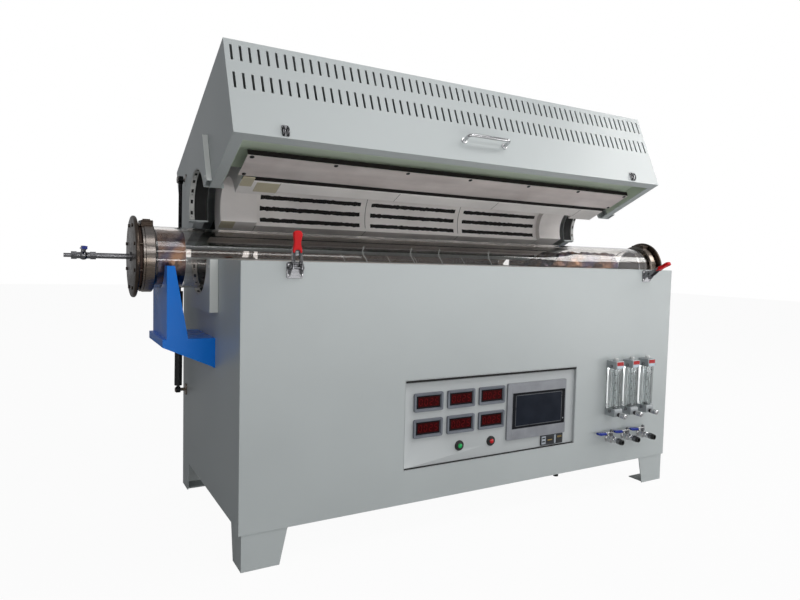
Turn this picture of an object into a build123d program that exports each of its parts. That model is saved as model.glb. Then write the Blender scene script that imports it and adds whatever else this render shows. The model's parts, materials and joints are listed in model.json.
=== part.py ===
from build123d import *
from math import cos, radians, sin, sqrt
import os

os.makedirs("parts", exist_ok=True)

# ---------------------------------------------------------------- driving sizes (mm)
# X across the front, Y front to back, Z up; origin on the floor below the cabinet's centre
fibre_x = 655.0           # half length of the fibre shells
end_room = 70.0           # from the fibre shells to the lid's ends
panel_w = 2 * (fibre_x + end_room)   # front panel, also the lid
panel_lap = 7.0           # front panel proud of the cabinet sides
side_x = panel_w / 2 - panel_lap     # outer face of the cabinet sides
depth = 690.0
front_y = -depth / 2
rear_y = depth / 2
foot_h = 88.0
panel_h = 632.0
split_z = foot_h + panel_h
sheet = 2.0
rim = 28.0                # inturned rim around the split

lid_front_y = front_y + 10.0         # closed lid
lid_rear_y = rear_y - 30.0
lid_h = 265.0
lid_gap = 1.0
hinge_y = rear_y + 36.0
open_angle = 24.158

tube_y = 30.0             # tube axis, on the split plane
tube_r = 80.0
tube_bore_r = 75.0
tube_left = -893.0
tube_right = 993.0

chamber_r = 105.0
fibre_r = 155.0
zone_x = (-369.0, 0.0, 367.0)
zone_len = 330.0
end_block_x = fibre_x - 106.0
slot_angles = (11.0, 30.0, 49.0)
slot_w = 10.0
coil_r = 4.0

port_out = 14.0           # port boxes stand out from the lid's ends
port_face_x = panel_w / 2 + port_out
port_half = 124.0
port_mid_y = tube_y - 12.0
port_h = 137.0
port_r = 100.0

flange_r = 105.0
hub_r = 91.0

# ---------------------------------------------------------------- fits (mm, on the radius)
running = 0.06
float_fit = 0.10
loose = 0.30
spring_eye_gap = 3.0

# ---------------------------------------------------------------- frames
lid_swing = Location((0, hinge_y, split_z), (-open_angle, 0, 0)) * Location((0, -hinge_y, -split_z))
lid_xy = Plane(lid_swing * Plane.XY.location)
lid_xz = Plane(lid_swing * Plane.XZ.location)
lid_yz = Plane(lid_swing * Plane.YZ.location)
lid_mirror = Plane(Location((0, hinge_y, split_z), (-open_angle / 2, 0, 0)))

# ================================================================= cabinet
cab_front_y = front_y + sheet
cab_mid_y = (cab_front_y + rear_y) / 2
cab_len = rear_y - cab_front_y

with BuildPart() as cabinet:
    # folded box
    with BuildSketch(Plane.XY.offset(foot_h)):
        with Locations((0, cab_mid_y)):
            Rectangle(2 * side_x, cab_len)
    extrude(amount=panel_h)
    with BuildSketch(Plane.XY.offset(foot_h + sheet)):
        with Locations((0, cab_mid_y)):
            Rectangle(2 * (side_x - sheet), cab_len - 2 * sheet)
    extrude(amount=panel_h - 2 * sheet, mode=Mode.SUBTRACT)
    # mouth at the split, rim left all round
    with BuildSketch(Plane.XY.offset(split_z - sheet)):
        with Locations((0, cab_mid_y)):
            Rectangle(2 * (side_x - rim), cab_len - 2 * rim)
    extrude(amount=sheet, mode=Mode.SUBTRACT)
    # front left open behind the front panel
    with BuildSketch(Plane.XZ.offset(-cab_front_y)):
        with Locations((0, foot_h + panel_h / 2)):
            Rectangle(2 * (side_x - rim), panel_h - 2 * rim)
    extrude(amount=-sheet, mode=Mode.SUBTRACT)
    # tube ports through both sides
    with BuildSketch(Plane.YZ.offset(-side_x)):
        with Locations((tube_y, split_z)):
            Circle(port_r + 3)
    extrude(amount=2 * side_x, mode=Mode.SUBTRACT)
    # louvre slots low and high on the rear wall, round grille for the fan
    with BuildSketch(Plane.XZ.offset(-rear_y)):
        with Locations((-380, foot_h + 112), (380, foot_h + 112), (-380, split_z - 160), (380, split_z - 160)):
            with GridLocations(0, 14, 1, 8):
                Rectangle(180, 5)
        with Locations((0, 260)):
            with PolarLocations(38, 12):
                Rectangle(40, 8)
    extrude(amount=sheet, mode=Mode.SUBTRACT)
    # gland hole in the floor
    with BuildSketch(Plane.XY.offset(foot_h)):
        with Locations((286, -290)):
            Circle(8.2)
    extrude(amount=sheet, mode=Mode.SUBTRACT)
cabinet.part.label = "cabinet"
export_step(cabinet.part, "parts/cabinet.step")

# ---------------------------------------------------------------- front panel
return_depth = 24.0
recess_x0, recess_x1 = -298.0, 306.0
recess_z0, recess_z1 = 177.0, 418.0
recess_w = recess_x1 - recess_x0
recess_h = recess_z1 - recess_z0
recess_cx = (recess_x0 + recess_x1) / 2
recess_cz = (recess_z0 + recess_z1) / 2
plate_y = front_y + 9.0

with BuildPart() as front_panel:
    with BuildSketch(Plane.XZ.offset(-front_y)):
        with Locations((0, foot_h + panel_h / 2)):
            Rectangle(panel_w, panel_h)
    extrude(amount=-return_depth)
    with BuildSketch(Plane.XZ.offset(-cab_front_y)):
        with Locations((0, foot_h + panel_h / 2)):
            Rectangle(panel_w - 2 * sheet, panel_h)
    extrude(amount=-return_depth, mode=Mode.SUBTRACT)
    with BuildSketch(Plane.XZ.offset(-front_y)):
        with Locations((recess_cx, recess_cz)):
            Rectangle(recess_w, recess_h)
    extrude(amount=-sheet, mode=Mode.SUBTRACT)
front_panel.part.label = "front_panel"
export_step(front_panel.part, "parts/front_panel.step")

# ---------------------------------------------------------------- feet
foot_top_w = 110.0
foot_low_w = 91.0
foot_side_top = 90.0
foot_side_low = 72.0
foot_sheet = 3.0

with BuildPart() as feet:
    # tapered front and rear leaves
    with BuildSketch(Plane.XZ.offset(-cab_front_y)):
        with BuildLine():
            Polyline((-side_x, 0), (-side_x + foot_low_w, 0), (-side_x + foot_top_w, foot_h),
                     (-side_x, foot_h), close=True)
        make_face()
    extrude(amount=-foot_sheet)
    # tapered side leaf
    with BuildSketch(Plane.YZ.offset(-side_x)):
        with BuildLine():
            Polyline((cab_front_y, 0), (cab_front_y + foot_side_low, 0),
                     (cab_front_y + foot_side_top, foot_h), (cab_front_y, foot_h), close=True)
        make_face()
    extrude(amount=foot_sheet)
    # sole and top flange
    with BuildSketch(Plane.XY):
        with Locations((-side_x, cab_front_y)):
            Rectangle(foot_low_w - 8, foot_side_low - 8, align=(Align.MIN, Align.MIN))
    extrude(amount=foot_sheet)
    with BuildSketch(Plane.XY.offset(foot_h)):
        with Locations((-side_x, cab_front_y)):
            Rectangle(foot_top_w, foot_side_top, align=(Align.MIN, Align.MIN))
    extrude(amount=-foot_sheet)
    mirror(about=Plane.YZ)
    mirror(about=Plane.XZ.offset(-cab_mid_y))
feet.part.label = "feet"
export_step(feet.part, "parts/feet.step")

# ---------------------------------------------------------------- control plate and what it carries
meter_x = (-222.0, -117.0, -12.0)
meter_z = (354.0, 283.5)
meter_w, meter_h = 90.0, 50.0
meter_places = [(x, z) for x in meter_x for z in meter_z]
touch_x, touch_z = 155.5, 298.5
touch_w, touch_h = 225.0, 167.0
socket_x, socket_z = 218.5, 199.0
socket_w, socket_h = 87.0, 31.0
green_x, red_x, button_z = -118.0, -10.0, 221.5

with BuildPart() as control_plate:
    # shallow folded tray set into the panel
    with BuildSketch(Plane.XZ.offset(-front_y)):
        with Locations((recess_cx, recess_cz)):
            Rectangle(recess_w - 2 * loose, recess_h - 2 * loose)
    extrude(amount=-(plate_y + sheet - front_y))
    with BuildSketch(Plane.XZ.offset(-front_y)):
        with Locations((recess_cx, recess_cz)):
            Rectangle(recess_w - 4, recess_h - 4)
    extrude(amount=-(plate_y - front_y), mode=Mode.SUBTRACT)
    # cut-outs
    with BuildSketch(Plane.XZ.offset(-plate_y)):
        with Locations(*meter_places):
            Rectangle(meter_w - 6, meter_h - 6)
        with Locations((touch_x, touch_z)):
            Rectangle(touch_w - 12, touch_h - 12)
        with Locations((socket_x, socket_z)):
            Rectangle(socket_w - 8, socket_h - 8)
        with Locations((green_x, button_z), (red_x, button_z)):
            Circle(8)
    extrude(amount=-sheet, mode=Mode.SUBTRACT)
control_plate.part.label = "control_plate"
export_step(control_plate.part, "parts/control_plate.step")

with BuildPart() as meters:
    # panel meter: bezel proud of the plate, body behind, window sunk in the bezel
    with BuildSketch(Plane.XZ.offset(-plate_y + 6)):
        with Locations(*meter_places):
            RectangleRounded(meter_w, meter_h, 3)
    extrude(amount=-6)
    with BuildSketch(Plane.XZ.offset(-plate_y)):
        with Locations(*meter_places):
            Rectangle(meter_w - 7, meter_h - 7)
    extrude(amount=-72)
    with BuildSketch(Plane.XZ.offset(-plate_y + 6)):
        with Locations(*meter_places):
            Rectangle(meter_w - 18, meter_h - 18)
    extrude(amount=-1.5, mode=Mode.SUBTRACT)
meters.part.label = "meters"
export_step(meters.part, "parts/meters.step")

with BuildPart() as touch_panel:
    with BuildSketch(Plane.XZ.offset(-plate_y + 6)):
        with Locations((touch_x, touch_z)):
            RectangleRounded(touch_w, touch_h, 4)
    extrude(amount=-6)
    with BuildSketch(Plane.XZ.offset(-plate_y)):
        with Locations((touch_x, touch_z)):
            Rectangle(touch_w - 14, touch_h - 14)
    extrude(amount=-38)
    # glass sunk between the upper and lower bands
    with BuildSketch(Plane.XZ.offset(-plate_y + 6)):
        with Locations((163, 300)):
            Rectangle(206, 108)
    extrude(amount=-1, mode=Mode.SUBTRACT)
touch_panel.part.label = "touch_panel"
export_step(touch_panel.part, "parts/touch_panel.step")

with BuildPart() as port_block:
    with BuildSketch(Plane.XZ.offset(-plate_y + 4)):
        with Locations((socket_x, socket_z)):
            RectangleRounded(socket_w, socket_h, 2)
    extrude(amount=-4)
    with BuildSketch(Plane.XZ.offset(-plate_y)):
        with Locations((socket_x, socket_z)):
            Rectangle(socket_w - 9, socket_h - 9)
    extrude(amount=-30)
    with BuildSketch(Plane.XZ.offset(-plate_y + 4)):
        with Locations((socket_x - 22, socket_z), (socket_x + 20, socket_z)):
            Rectangle(26, 18)
    extrude(amount=-14, mode=Mode.SUBTRACT)
port_block.part.label = "port_block"
export_step(port_block.part, "parts/port_block.step")

button_r = 6.4
with BuildPart() as button_bezels:
    # threaded sleeve closed at the back, chamfered ring in front
    with BuildSketch(Plane.XZ.offset(-plate_y + 5)):
        with Locations((green_x, button_z), (red_x, button_z)):
            Circle(10)
    extrude(amount=-5)
    with BuildSketch(Plane.XZ.offset(-plate_y)):
        with Locations((green_x, button_z), (red_x, button_z)):
            Circle(7.8)
    extrude(amount=-26)
    with BuildSketch(Plane.XZ.offset(-plate_y + 5)):
        with Locations((green_x, button_z), (red_x, button_z)):
            Circle(button_r + running)
    extrude(amount=-24, mode=Mode.SUBTRACT)
button_bezels.part.label = "button_bezels"
export_step(button_bezels.part, "parts/button_bezels.step")

with BuildPart() as green_button:
    with BuildSketch(Plane.XZ.offset(-plate_y + 8)):
        with Locations((green_x, button_z)):
            Circle(button_r)
    extrude(amount=-22)
    chamfer(green_button.edges().sort_by(Axis.Y)[0], 1.2)
green_button.part.label = "green_button"
export_step(green_button.part, "parts/green_button.step")

with BuildPart() as red_button:
    with BuildSketch(Plane.XZ.offset(-plate_y + 8)):
        with Locations((red_x, button_z)):
            Circle(button_r)
    extrude(amount=-22)
    chamfer(red_button.edges().sort_by(Axis.Y)[0], 1.2)
red_button.part.label = "red_button"
export_step(red_button.part, "parts/red_button.step")

# ================================================================= gas panel
gauge_x = (451.0, 524.0, 597.0)
gauge_w, gauge_d = 34.0, 42.0
gauge_z0, gauge_z1 = 254.0, 430.0
gauge_block = 24.0
flow_tube_y = front_y - 25.0
flow_tube_r = 9.5
flow_bore_r = 6.0
needle_z = 260.0

with BuildPart() as rotameter_bodies:
    # spine with a block at each end, one piece
    with BuildSketch(Plane.XY.offset(gauge_z0)):
        with Locations(*[(x, front_y - gauge_d / 2) for x in gauge_x]):
            Rectangle(gauge_w, gauge_d)
    extrude(amount=gauge_z1 - gauge_z0)
    with BuildSketch(Plane.XY.offset(gauge_z0 + gauge_block)):
        with Locations(*[(x, front_y - 8 - gauge_d / 2) for x in gauge_x]):
            Rectangle(gauge_w, gauge_d)
    extrude(amount=gauge_z1 - gauge_z0 - 2 * gauge_block, mode=Mode.SUBTRACT)
    # sockets for the tube
    with BuildSketch(Plane.XY.offset(gauge_z0 + gauge_block - 4)):
        with Locations(*[(x, flow_tube_y) for x in gauge_x]):
            Circle(flow_tube_r + 0.1)
    extrude(amount=gauge_z1 - gauge_z0 - 2 * gauge_block + 8, mode=Mode.SUBTRACT)
    # needle valve seat in the lower block
    with BuildSketch(Plane.XZ.offset(-(front_y - gauge_d))):
        with Locations(*[(x, needle_z) for x in gauge_x]):
            Circle(3 + running)
    extrude(amount=-14, mode=Mode.SUBTRACT)
rotameter_bodies.part.label = "rotameter_bodies"
export_step(rotameter_bodies.part, "parts/rotameter_bodies.step")

with BuildPart() as flow_tubes:
    with BuildSketch(Plane.XY.offset(gauge_z0 + gauge_block - 4)):
        with Locations(*[(x, flow_tube_y) for x in gauge_x]):
            Circle(flow_tube_r)
            Circle(flow_bore_r, mode=Mode.SUBTRACT)
    extrude(amount=gauge_z1 - gauge_z0 - 2 * gauge_block + 8)
flow_tubes.part.label = "flow_tubes"
export_step(flow_tubes.part, "parts/flow_tubes.step")

float_z = gauge_z0 + gauge_block - 4
float_parts = []
for i, x in enumerate(gauge_x):
    with BuildPart() as float_body:
        with BuildSketch(Plane.XZ.offset(-flow_tube_y)):
            with BuildLine():
                Polyline((x, float_z), (x + 2, float_z), (x + flow_bore_r - float_fit, float_z + 8),
                         (x + flow_bore_r - float_fit, float_z + 12), (x, float_z + 12), close=True)
            make_face()
        revolve(axis=Axis((x, flow_tube_y, 0), (0, 0, 1)))
    float_body.part.label = f"float_{i + 1}"
    export_step(float_body.part, f"parts/float_{i + 1}.step")

for i, x in enumerate(gauge_x):
    with BuildPart() as needle_knob:
        # spindle, collar and ribbed grip
        with BuildSketch(Plane.XZ.offset(-(front_y - gauge_d + 12))):
            with Locations((x, needle_z)):
                Circle(3)
        extrude(amount=34)
        with BuildSketch(Plane.XZ.offset(-(front_y - gauge_d - 0.4))):
            with Locations((x, needle_z)):
                Circle(5)
        extrude(amount=9)
        with BuildSketch(Plane.XZ.offset(-(front_y - gauge_d - 9.4))):
            with Locations((x, needle_z)):
                Circle(7.5)
                with PolarLocations(7.6, 12):
                    Circle(0.9, mode=Mode.SUBTRACT)
        extrude(amount=23)
        chamfer(needle_knob.faces().sort_by(Axis.Y)[0].edges(), 0.6)
    needle_knob.part.label = f"needle_knob_{i + 1}"
    export_step(needle_knob.part, f"parts/needle_knob_{i + 1}.step")

valve_x = (450.0, 523.0, 597.0)
valve_z = 177.0
stem_y = front_y - 17.0
stem_r = 3.5
lever_z = 198.0

with BuildPart() as ball_valves:
    # turned body along Y
    with BuildSketch(Plane.XZ.offset(-front_y)):
        with Locations(*[(x, valve_z) for x in valve_x]):
            Circle(10)
    extrude(amount=30)
    with BuildSketch(Plane.XZ.offset(-(front_y - 30))):
        with Locations(*[(x, valve_z) for x in valve_x]):
            Circle(7.5)
    extrude(amount=18)
    with BuildSketch(Plane.XZ.offset(-(front_y - 46))):
        with Locations(*[(x, valve_z) for x in valve_x]):
            RegularPolygon(9.5, 6, major_radius=False)
    extrude(amount=21)
    with Locations(*[(x, stem_y, valve_z) for x in valve_x]):
        Sphere(12)
    # bonnet, stem and nut
    with BuildSketch(Plane.XY.offset(valve_z)):
        with Locations(*[(x, stem_y) for x in valve_x]):
            Circle(6)
    extrude(amount=lever_z - valve_z - 0.3)
    with BuildSketch(Plane.XY.offset(valve_z)):
        with Locations(*[(x, stem_y) for x in valve_x]):
            Circle(stem_r)
    extrude(amount=lever_z - valve_z + 9)
    with BuildSketch(Plane.XY.offset(lever_z + 3.3)):
        with Locations(*[(x, stem_y) for x in valve_x]):
            RegularPolygon(5, 6, major_radius=False)
    extrude(amount=4)
    # bore from the open end
    with BuildSketch(Plane.XZ.offset(-(front_y - 67))):
        with Locations(*[(x, valve_z) for x in valve_x]):
            Circle(5)
    extrude(amount=-30, mode=Mode.SUBTRACT)
ball_valves.part.label = "ball_valves"
export_step(ball_valves.part, "parts/ball_valves.step")

for i, x in enumerate(valve_x):
    with BuildPart() as valve_lever:
        # flat lever with a folded grip, pointing left when shut
        with BuildSketch(Plane.XY.offset(lever_z)):
            with Locations((x, stem_y)):
                Circle(8)
            with Locations((x - 17, stem_y)):
                Rectangle(34, 10)
            with Locations((x, stem_y)):
                Circle(stem_r + running, mode=Mode.SUBTRACT)
        extrude(amount=3)
        with BuildSketch(Plane.XZ.offset(-(stem_y - 6))):
            with BuildLine():
                Polyline((x - 20, lever_z), (x - 26, lever_z - 5), (x - 60, lever_z - 2),
                         (x - 62, lever_z + 5), (x - 28, lever_z + 4), (x - 20, lever_z + 3), close=True)
            make_face()
        extrude(amount=-12)
    valve_lever.part.label = f"valve_lever_{i + 1}"
    export_step(valve_lever.part, f"parts/valve_lever_{i + 1}.step")

# ================================================================= toggle latches
latch_x = 600.0
latch_y = front_y - 13.0
latch_z = split_z - 14.0
bow_z = latch_z + 10.0
latch_mid_z = split_z - 20.0
pin_r = 2.5
bow_pin_r = 1.5

with BuildPart() as latch_bases:
    # plate with two ears and the main pin
    with BuildSketch(Plane.XZ.offset(-front_y)):
        with Locations((-latch_x, latch_mid_z)):
            RectangleRounded(42, 38, 5)
            with GridLocations(30, 24, 2, 2):
                Circle(2.2, mode=Mode.SUBTRACT)
    extrude(amount=2.5)
    with BuildSketch(Plane.YZ.offset(-latch_x - 15)):
        with BuildLine():
            Polyline((front_y, latch_z - 20), (front_y, latch_z + 10), (latch_y - 4, latch_z + 6), (latch_y - 6, latch_z - 2),
                     (latch_y - 2, latch_z - 8), close=True)
        make_face()
    extrude(amount=2)
    with BuildSketch(Plane.YZ.offset(-latch_x + 13)):
        with BuildLine():
            Polyline((front_y, latch_z - 20), (front_y, latch_z + 10), (latch_y - 4, latch_z + 6), (latch_y - 6, latch_z - 2),
                     (latch_y - 2, latch_z - 8), close=True)
        make_face()
    extrude(amount=2)
    with BuildSketch(Plane.YZ.offset(-latch_x - 16)):
        with Locations((latch_y, latch_z)):
            Circle(pin_r)
    extrude(amount=32)
    mirror(about=Plane.YZ)
latch_bases.part.label = "latch_bases"
export_step(latch_bases.part, "parts/latch_bases.step")

with BuildPart() as latch_handle_left:
    # two cheeks on the pin, joined by the grip and the bow pin
    with BuildSketch(Plane.YZ.offset(-latch_x - 12)):
        with BuildLine():
            Polyline((latch_y + 4, latch_z - 4), (latch_y + 4, latch_z + 64), (latch_y - 6, latch_z + 64),
                     (latch_y - 6, latch_z - 4), close=True)
        make_face()
        with Locations((latch_y, latch_z)):
            Circle(pin_r + running, mode=Mode.SUBTRACT)
    extrude(amount=2)
    with BuildSketch(Plane.YZ.offset(-latch_x + 10)):
        with BuildLine():
            Polyline((latch_y + 4, latch_z - 4), (latch_y + 4, latch_z + 64), (latch_y - 6, latch_z + 64),
                     (latch_y - 6, latch_z - 4), close=True)
        make_face()
        with Locations((latch_y, latch_z)):
            Circle(pin_r + running, mode=Mode.SUBTRACT)
    extrude(amount=2)
    with BuildSketch(Plane.XZ.offset(-(latch_y + 4))):
        with Locations((-latch_x, latch_z + 67)):
            RectangleRounded(24, 38, 9)
    extrude(amount=10)
    with BuildSketch(Plane.YZ.offset(-latch_x - 11)):
        with Locations((latch_y - 2, bow_z)):
            Circle(bow_pin_r)
    extrude(amount=22)
latch_handle_left.part.label = "latch_handle_left"
export_step(latch_handle_left.part, "parts/latch_handle_left.step")

with BuildPart() as latch_bow_left:
    # U bow with eyes on the handle's pin
    with BuildSketch(Plane.XZ.offset(-(latch_y + 0.5))):
        with Locations((-latch_x, latch_z + 24)):
            RectangleRounded(17, 36, 8)
            RectangleRounded(10, 28, 4.9, mode=Mode.SUBTRACT)
    extrude(amount=5)
    with BuildSketch(Plane.YZ.offset(-latch_x - 8.5)):
        with Locations((latch_y - 2, bow_z)):
            Circle(bow_pin_r + running)
    extrude(amount=17, mode=Mode.SUBTRACT)
latch_bow_left.part.label = "latch_bow_left"
export_step(latch_bow_left.part, "parts/latch_bow_left.step")

# the right latch stands thrown open, its handle swung out from the panel
right_throw = Location((0, latch_y, latch_z), (62, 0, 0)) * Location((0, -latch_y, -latch_z))
with BuildPart() as latch_handle_right:
    add(mirror(latch_handle_left.part, about=Plane.YZ, mode=Mode.PRIVATE).moved(right_throw))
latch_handle_right.part.label = "latch_handle_right"
export_step(latch_handle_right.part, "parts/latch_handle_right.step")

with BuildPart() as latch_bow_right:
    add(mirror(latch_bow_left.part, about=Plane.YZ, mode=Mode.PRIVATE).moved(right_throw))
latch_bow_right.part.label = "latch_bow_right"
export_step(latch_bow_right.part, "parts/latch_bow_right.step")

# ================================================================= heating chamber, lower half
fibre_top = split_z - 0.5
slot_planes = []
for x in zone_x:
    for angle in slot_angles:
        for side in (-1, 1):
            out = Vector(0, side * cos(radians(angle)), -sin(radians(angle)))
            slot_planes.append(Plane(origin=Vector(x, tube_y, split_z) + out * (chamber_r - 6),
                                     x_dir=(1, 0, 0), z_dir=out))

with BuildPart() as lower_insulation:
    # half shell of ceramic fibre with narrower end blocks
    with BuildSketch(Plane.YZ.offset(-fibre_x)):
        with Locations((tube_y, split_z)):
            Circle(fibre_r)
            Circle(tube_r + 5, mode=Mode.SUBTRACT)
        with Locations((tube_y, fibre_top + 100)):
            Rectangle(400, 200, mode=Mode.SUBTRACT)
    extrude(amount=2 * fibre_x)
    with BuildSketch(Plane.YZ.offset(-end_block_x)):
        with Locations((tube_y, split_z)):
            Circle(chamber_r)
    extrude(amount=2 * end_block_x, mode=Mode.SUBTRACT)
    # grooves for the coils
    with BuildSketch(*slot_planes):
        Rectangle(zone_len, slot_w)
    extrude(amount=18, mode=Mode.SUBTRACT)
    # thermocouple holes
    with BuildSketch(Plane.XY.offset(split_z - fibre_r - 2)):
        with Locations(*[(x, tube_y) for x in zone_x]):
            Circle(4 + loose)
    extrude(amount=60, mode=Mode.SUBTRACT)
lower_insulation.part.label = "lower_insulation"
export_step(lower_insulation.part, "parts/lower_insulation.step")

coil_places = [plane.origin + plane.z_dir * (18 - coil_r) for plane in slot_planes]
with BuildPart() as lower_heaters:
    with Locations(*coil_places):
        Cylinder(coil_r, zone_len - 4, rotation=(0, 90, 0))
lower_heaters.part.label = "lower_heaters"
export_step(lower_heaters.part, "parts/lower_heaters.step")

trough_r = fibre_r + 0.3
cover_y0 = front_y + 15.0
cover_y1 = rear_y - 13.0
with BuildPart() as lower_covers:
    # half-round trough with a flat cover plate on either side
    with BuildSketch(Plane.YZ.offset(-fibre_x)):
        with Locations((tube_y, split_z)):
            Circle(trough_r + sheet)
            Circle(trough_r, mode=Mode.SUBTRACT)
        with Locations((tube_y, split_z - sheet + 100)):
            Rectangle(400, 200, mode=Mode.SUBTRACT)
    extrude(amount=2 * fibre_x)
    with BuildSketch(Plane.XY.offset(split_z - sheet)):
        with Locations((0, (tube_y - trough_r + cover_y0) / 2)):
            Rectangle(2 * (side_x - 18), tube_y - trough_r - cover_y0)
        with Locations((0, (tube_y + trough_r + cover_y1) / 2)):
            Rectangle(2 * (side_x - 18), cover_y1 - tube_y - trough_r)
    extrude(amount=-sheet)
    with BuildSketch(Plane.XY.offset(split_z - fibre_r - 6)):
        with Locations(*[(x, tube_y) for x in zone_x]):
            Circle(4 + loose)
    extrude(amount=20, mode=Mode.SUBTRACT)
lower_covers.part.label = "lower_covers"
export_step(lower_covers.part, "parts/lower_covers.step")

with BuildPart() as thermocouples:
    with BuildSketch(Plane.XY.offset(split_z - trough_r - sheet - 40)):
        with Locations(*[(x, tube_y) for x in zone_x]):
            Circle(12)
    extrude(amount=39.6)
    with BuildSketch(Plane.XY.offset(split_z - trough_r - sheet - 10)):
        with Locations(*[(x, tube_y) for x in zone_x]):
            Circle(4)
    extrude(amount=76)
thermocouples.part.label = "thermocouples"
export_step(thermocouples.part, "parts/thermocouples.step")

with BuildPart() as lower_ports:
    # box standing out from the side, round cut-out in its face, half collar inside
    with BuildSketch(Plane.YZ.offset(-port_face_x)):
        with Locations((port_mid_y, fibre_top - port_h / 2)):
            Rectangle(2 * port_half, port_h)
    extrude(amount=port_face_x - side_x)
    with BuildSketch(Plane.YZ.offset(-port_face_x + sheet)):
        with Locations((port_mid_y, fibre_top - port_h / 2 + sheet)):
            Rectangle(2 * port_half - 2 * sheet, port_h)
    extrude(amount=port_face_x - side_x - sheet, mode=Mode.SUBTRACT)
    with BuildSketch(Plane.YZ.offset(-port_face_x)):
        with Locations((tube_y, split_z)):
            Circle(port_r + sheet)
        with Locations((tube_y, fibre_top + 100)):
            Rectangle(400, 200, mode=Mode.SUBTRACT)
    extrude(amount=52)
    with BuildSketch(Plane.YZ.offset(-port_face_x)):
        with Locations((tube_y, split_z)):
            Circle(port_r)
    extrude(amount=60, mode=Mode.SUBTRACT)
    mirror(about=Plane.YZ)
lower_ports.part.label = "lower_ports"
export_step(lower_ports.part, "parts/lower_ports.step")

# ================================================================= lid (drawn shut, placed swung open)
lid_z0 = split_z + lid_gap
lid_len = lid_rear_y - lid_front_y
lid_mid_y = (lid_front_y + lid_rear_y) / 2
lid_top_h = lid_h - lid_gap

with BuildPart() as lid_shell:
    with BuildSketch(lid_xy.offset(lid_z0)):
        with Locations((0, lid_mid_y)):
            Rectangle(panel_w, lid_len)
    extrude(amount=lid_top_h)
    with BuildSketch(lid_xy.offset(lid_z0 + sheet)):
        with Locations((0, lid_mid_y)):
            Rectangle(panel_w - 2 * sheet, lid_len - 2 * sheet)
    extrude(amount=lid_top_h - 2 * sheet, mode=Mode.SUBTRACT)
    with BuildSketch(lid_xy.offset(lid_z0)):
        with Locations((0, lid_mid_y)):
            Rectangle(panel_w - 2 * rim, lid_len - 2 * rim)
    extrude(amount=sheet, mode=Mode.SUBTRACT)
    with BuildSketch(lid_yz.offset(-panel_w / 2)):
        with Locations((tube_y, split_z)):
            Circle(port_r + 3)
    extrude(amount=panel_w, mode=Mode.SUBTRACT)
    # two rows of vent slots along the front
    with BuildSketch(lid_xz.offset(-lid_front_y)):
        with Locations((0, split_z + 226.5), (0, split_z + 147.5)):
            with GridLocations(22.5, 0, 64, 1):
                Rectangle(6, 45)
    extrude(amount=-sheet, mode=Mode.SUBTRACT)
lid_shell.part.label = "lid_shell"
export_step(lid_shell.part, "parts/lid_shell.step")

handle_half = 72.0
handle_z = split_z + 67.0
handle_out = 32.0
with BuildPart() as lid_handle:
    with BuildLine(lid_xy.offset(handle_z)) as handle_path:
        FilletPolyline((-handle_half, lid_front_y), (-handle_half, lid_front_y - handle_out),
                       (handle_half, lid_front_y - handle_out), (handle_half, lid_front_y), radius=12)
    with BuildSketch(lid_xz.offset(-lid_front_y)):
        with Locations((-handle_half, handle_z)):
            Circle(5)
    sweep(path=handle_path.wires()[0])
    with BuildSketch(lid_xz.offset(-lid_front_y)):
        with Locations((-handle_half, handle_z), (handle_half, handle_z)):
            Circle(9)
    extrude(amount=3)
lid_handle.part.label = "lid_handle"
export_step(lid_handle.part, "parts/lid_handle.step")

with BuildPart() as lid_keepers:
    # hook plate of each latch on the lid front
    with BuildSketch(lid_xz.offset(-lid_front_y)):
        with Locations((-latch_x, split_z + 21), (latch_x, split_z + 21)):
            RectangleRounded(18, 30, 3)
    extrude(amount=2)
    with BuildSketch(lid_yz.offset(-latch_x - 7)):
        with BuildLine():
            Polyline((lid_front_y - 1, split_z + 8), (lid_front_y - 9, split_z + 12),
                     (lid_front_y - 10, split_z + 28), (lid_front_y - 7, split_z + 28),
                     (lid_front_y - 6, split_z + 18), (lid_front_y - 1, split_z + 16), close=True)
        make_face()
    extrude(amount=14)
    with BuildSketch(lid_yz.offset(latch_x - 7)):
        with BuildLine():
            Polyline((lid_front_y - 1, split_z + 8), (lid_front_y - 9, split_z + 12),
                     (lid_front_y - 10, split_z + 28), (lid_front_y - 7, split_z + 28),
                     (lid_front_y - 6, split_z + 18), (lid_front_y - 1, split_z + 16), close=True)
        make_face()
    extrude(amount=14)
lid_keepers.part.label = "lid_keepers"
export_step(lid_keepers.part, "parts/lid_keepers.step")

with BuildPart() as upper_insulation:
    # plain crown: no thermocouple holes in the lid's half
    with BuildSketch(lid_yz.offset(-fibre_x)):
        with Locations((tube_y, split_z)):
            Circle(fibre_r)
            Circle(tube_r + 5, mode=Mode.SUBTRACT)
        with Locations((tube_y, split_z + 0.5 - 100)):
            Rectangle(400, 200, mode=Mode.SUBTRACT)
    extrude(amount=2 * fibre_x)
    with BuildSketch(lid_yz.offset(-end_block_x)):
        with Locations((tube_y, split_z)):
            Circle(chamber_r)
    extrude(amount=2 * end_block_x, mode=Mode.SUBTRACT)
    with BuildSketch(*[Plane(origin=lid_swing.position + (lid_swing * Location(
            (p.origin.X, p.origin.Y, 2 * split_z - p.origin.Z))).position - lid_swing.position,
            x_dir=(1, 0, 0),
            z_dir=Vector(0, p.z_dir.Y, -p.z_dir.Z).rotate(Axis.X, -open_angle)) for p in slot_planes]):
        Rectangle(zone_len, slot_w)
    extrude(amount=18, mode=Mode.SUBTRACT)
upper_insulation.part.label = "upper_insulation"
export_step(upper_insulation.part, "parts/upper_insulation.step")

with BuildPart() as upper_heaters:
    mirror(lower_heaters.part, about=lid_mirror)
upper_heaters.part.label = "upper_heaters"
export_step(upper_heaters.part, "parts/upper_heaters.step")

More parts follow.
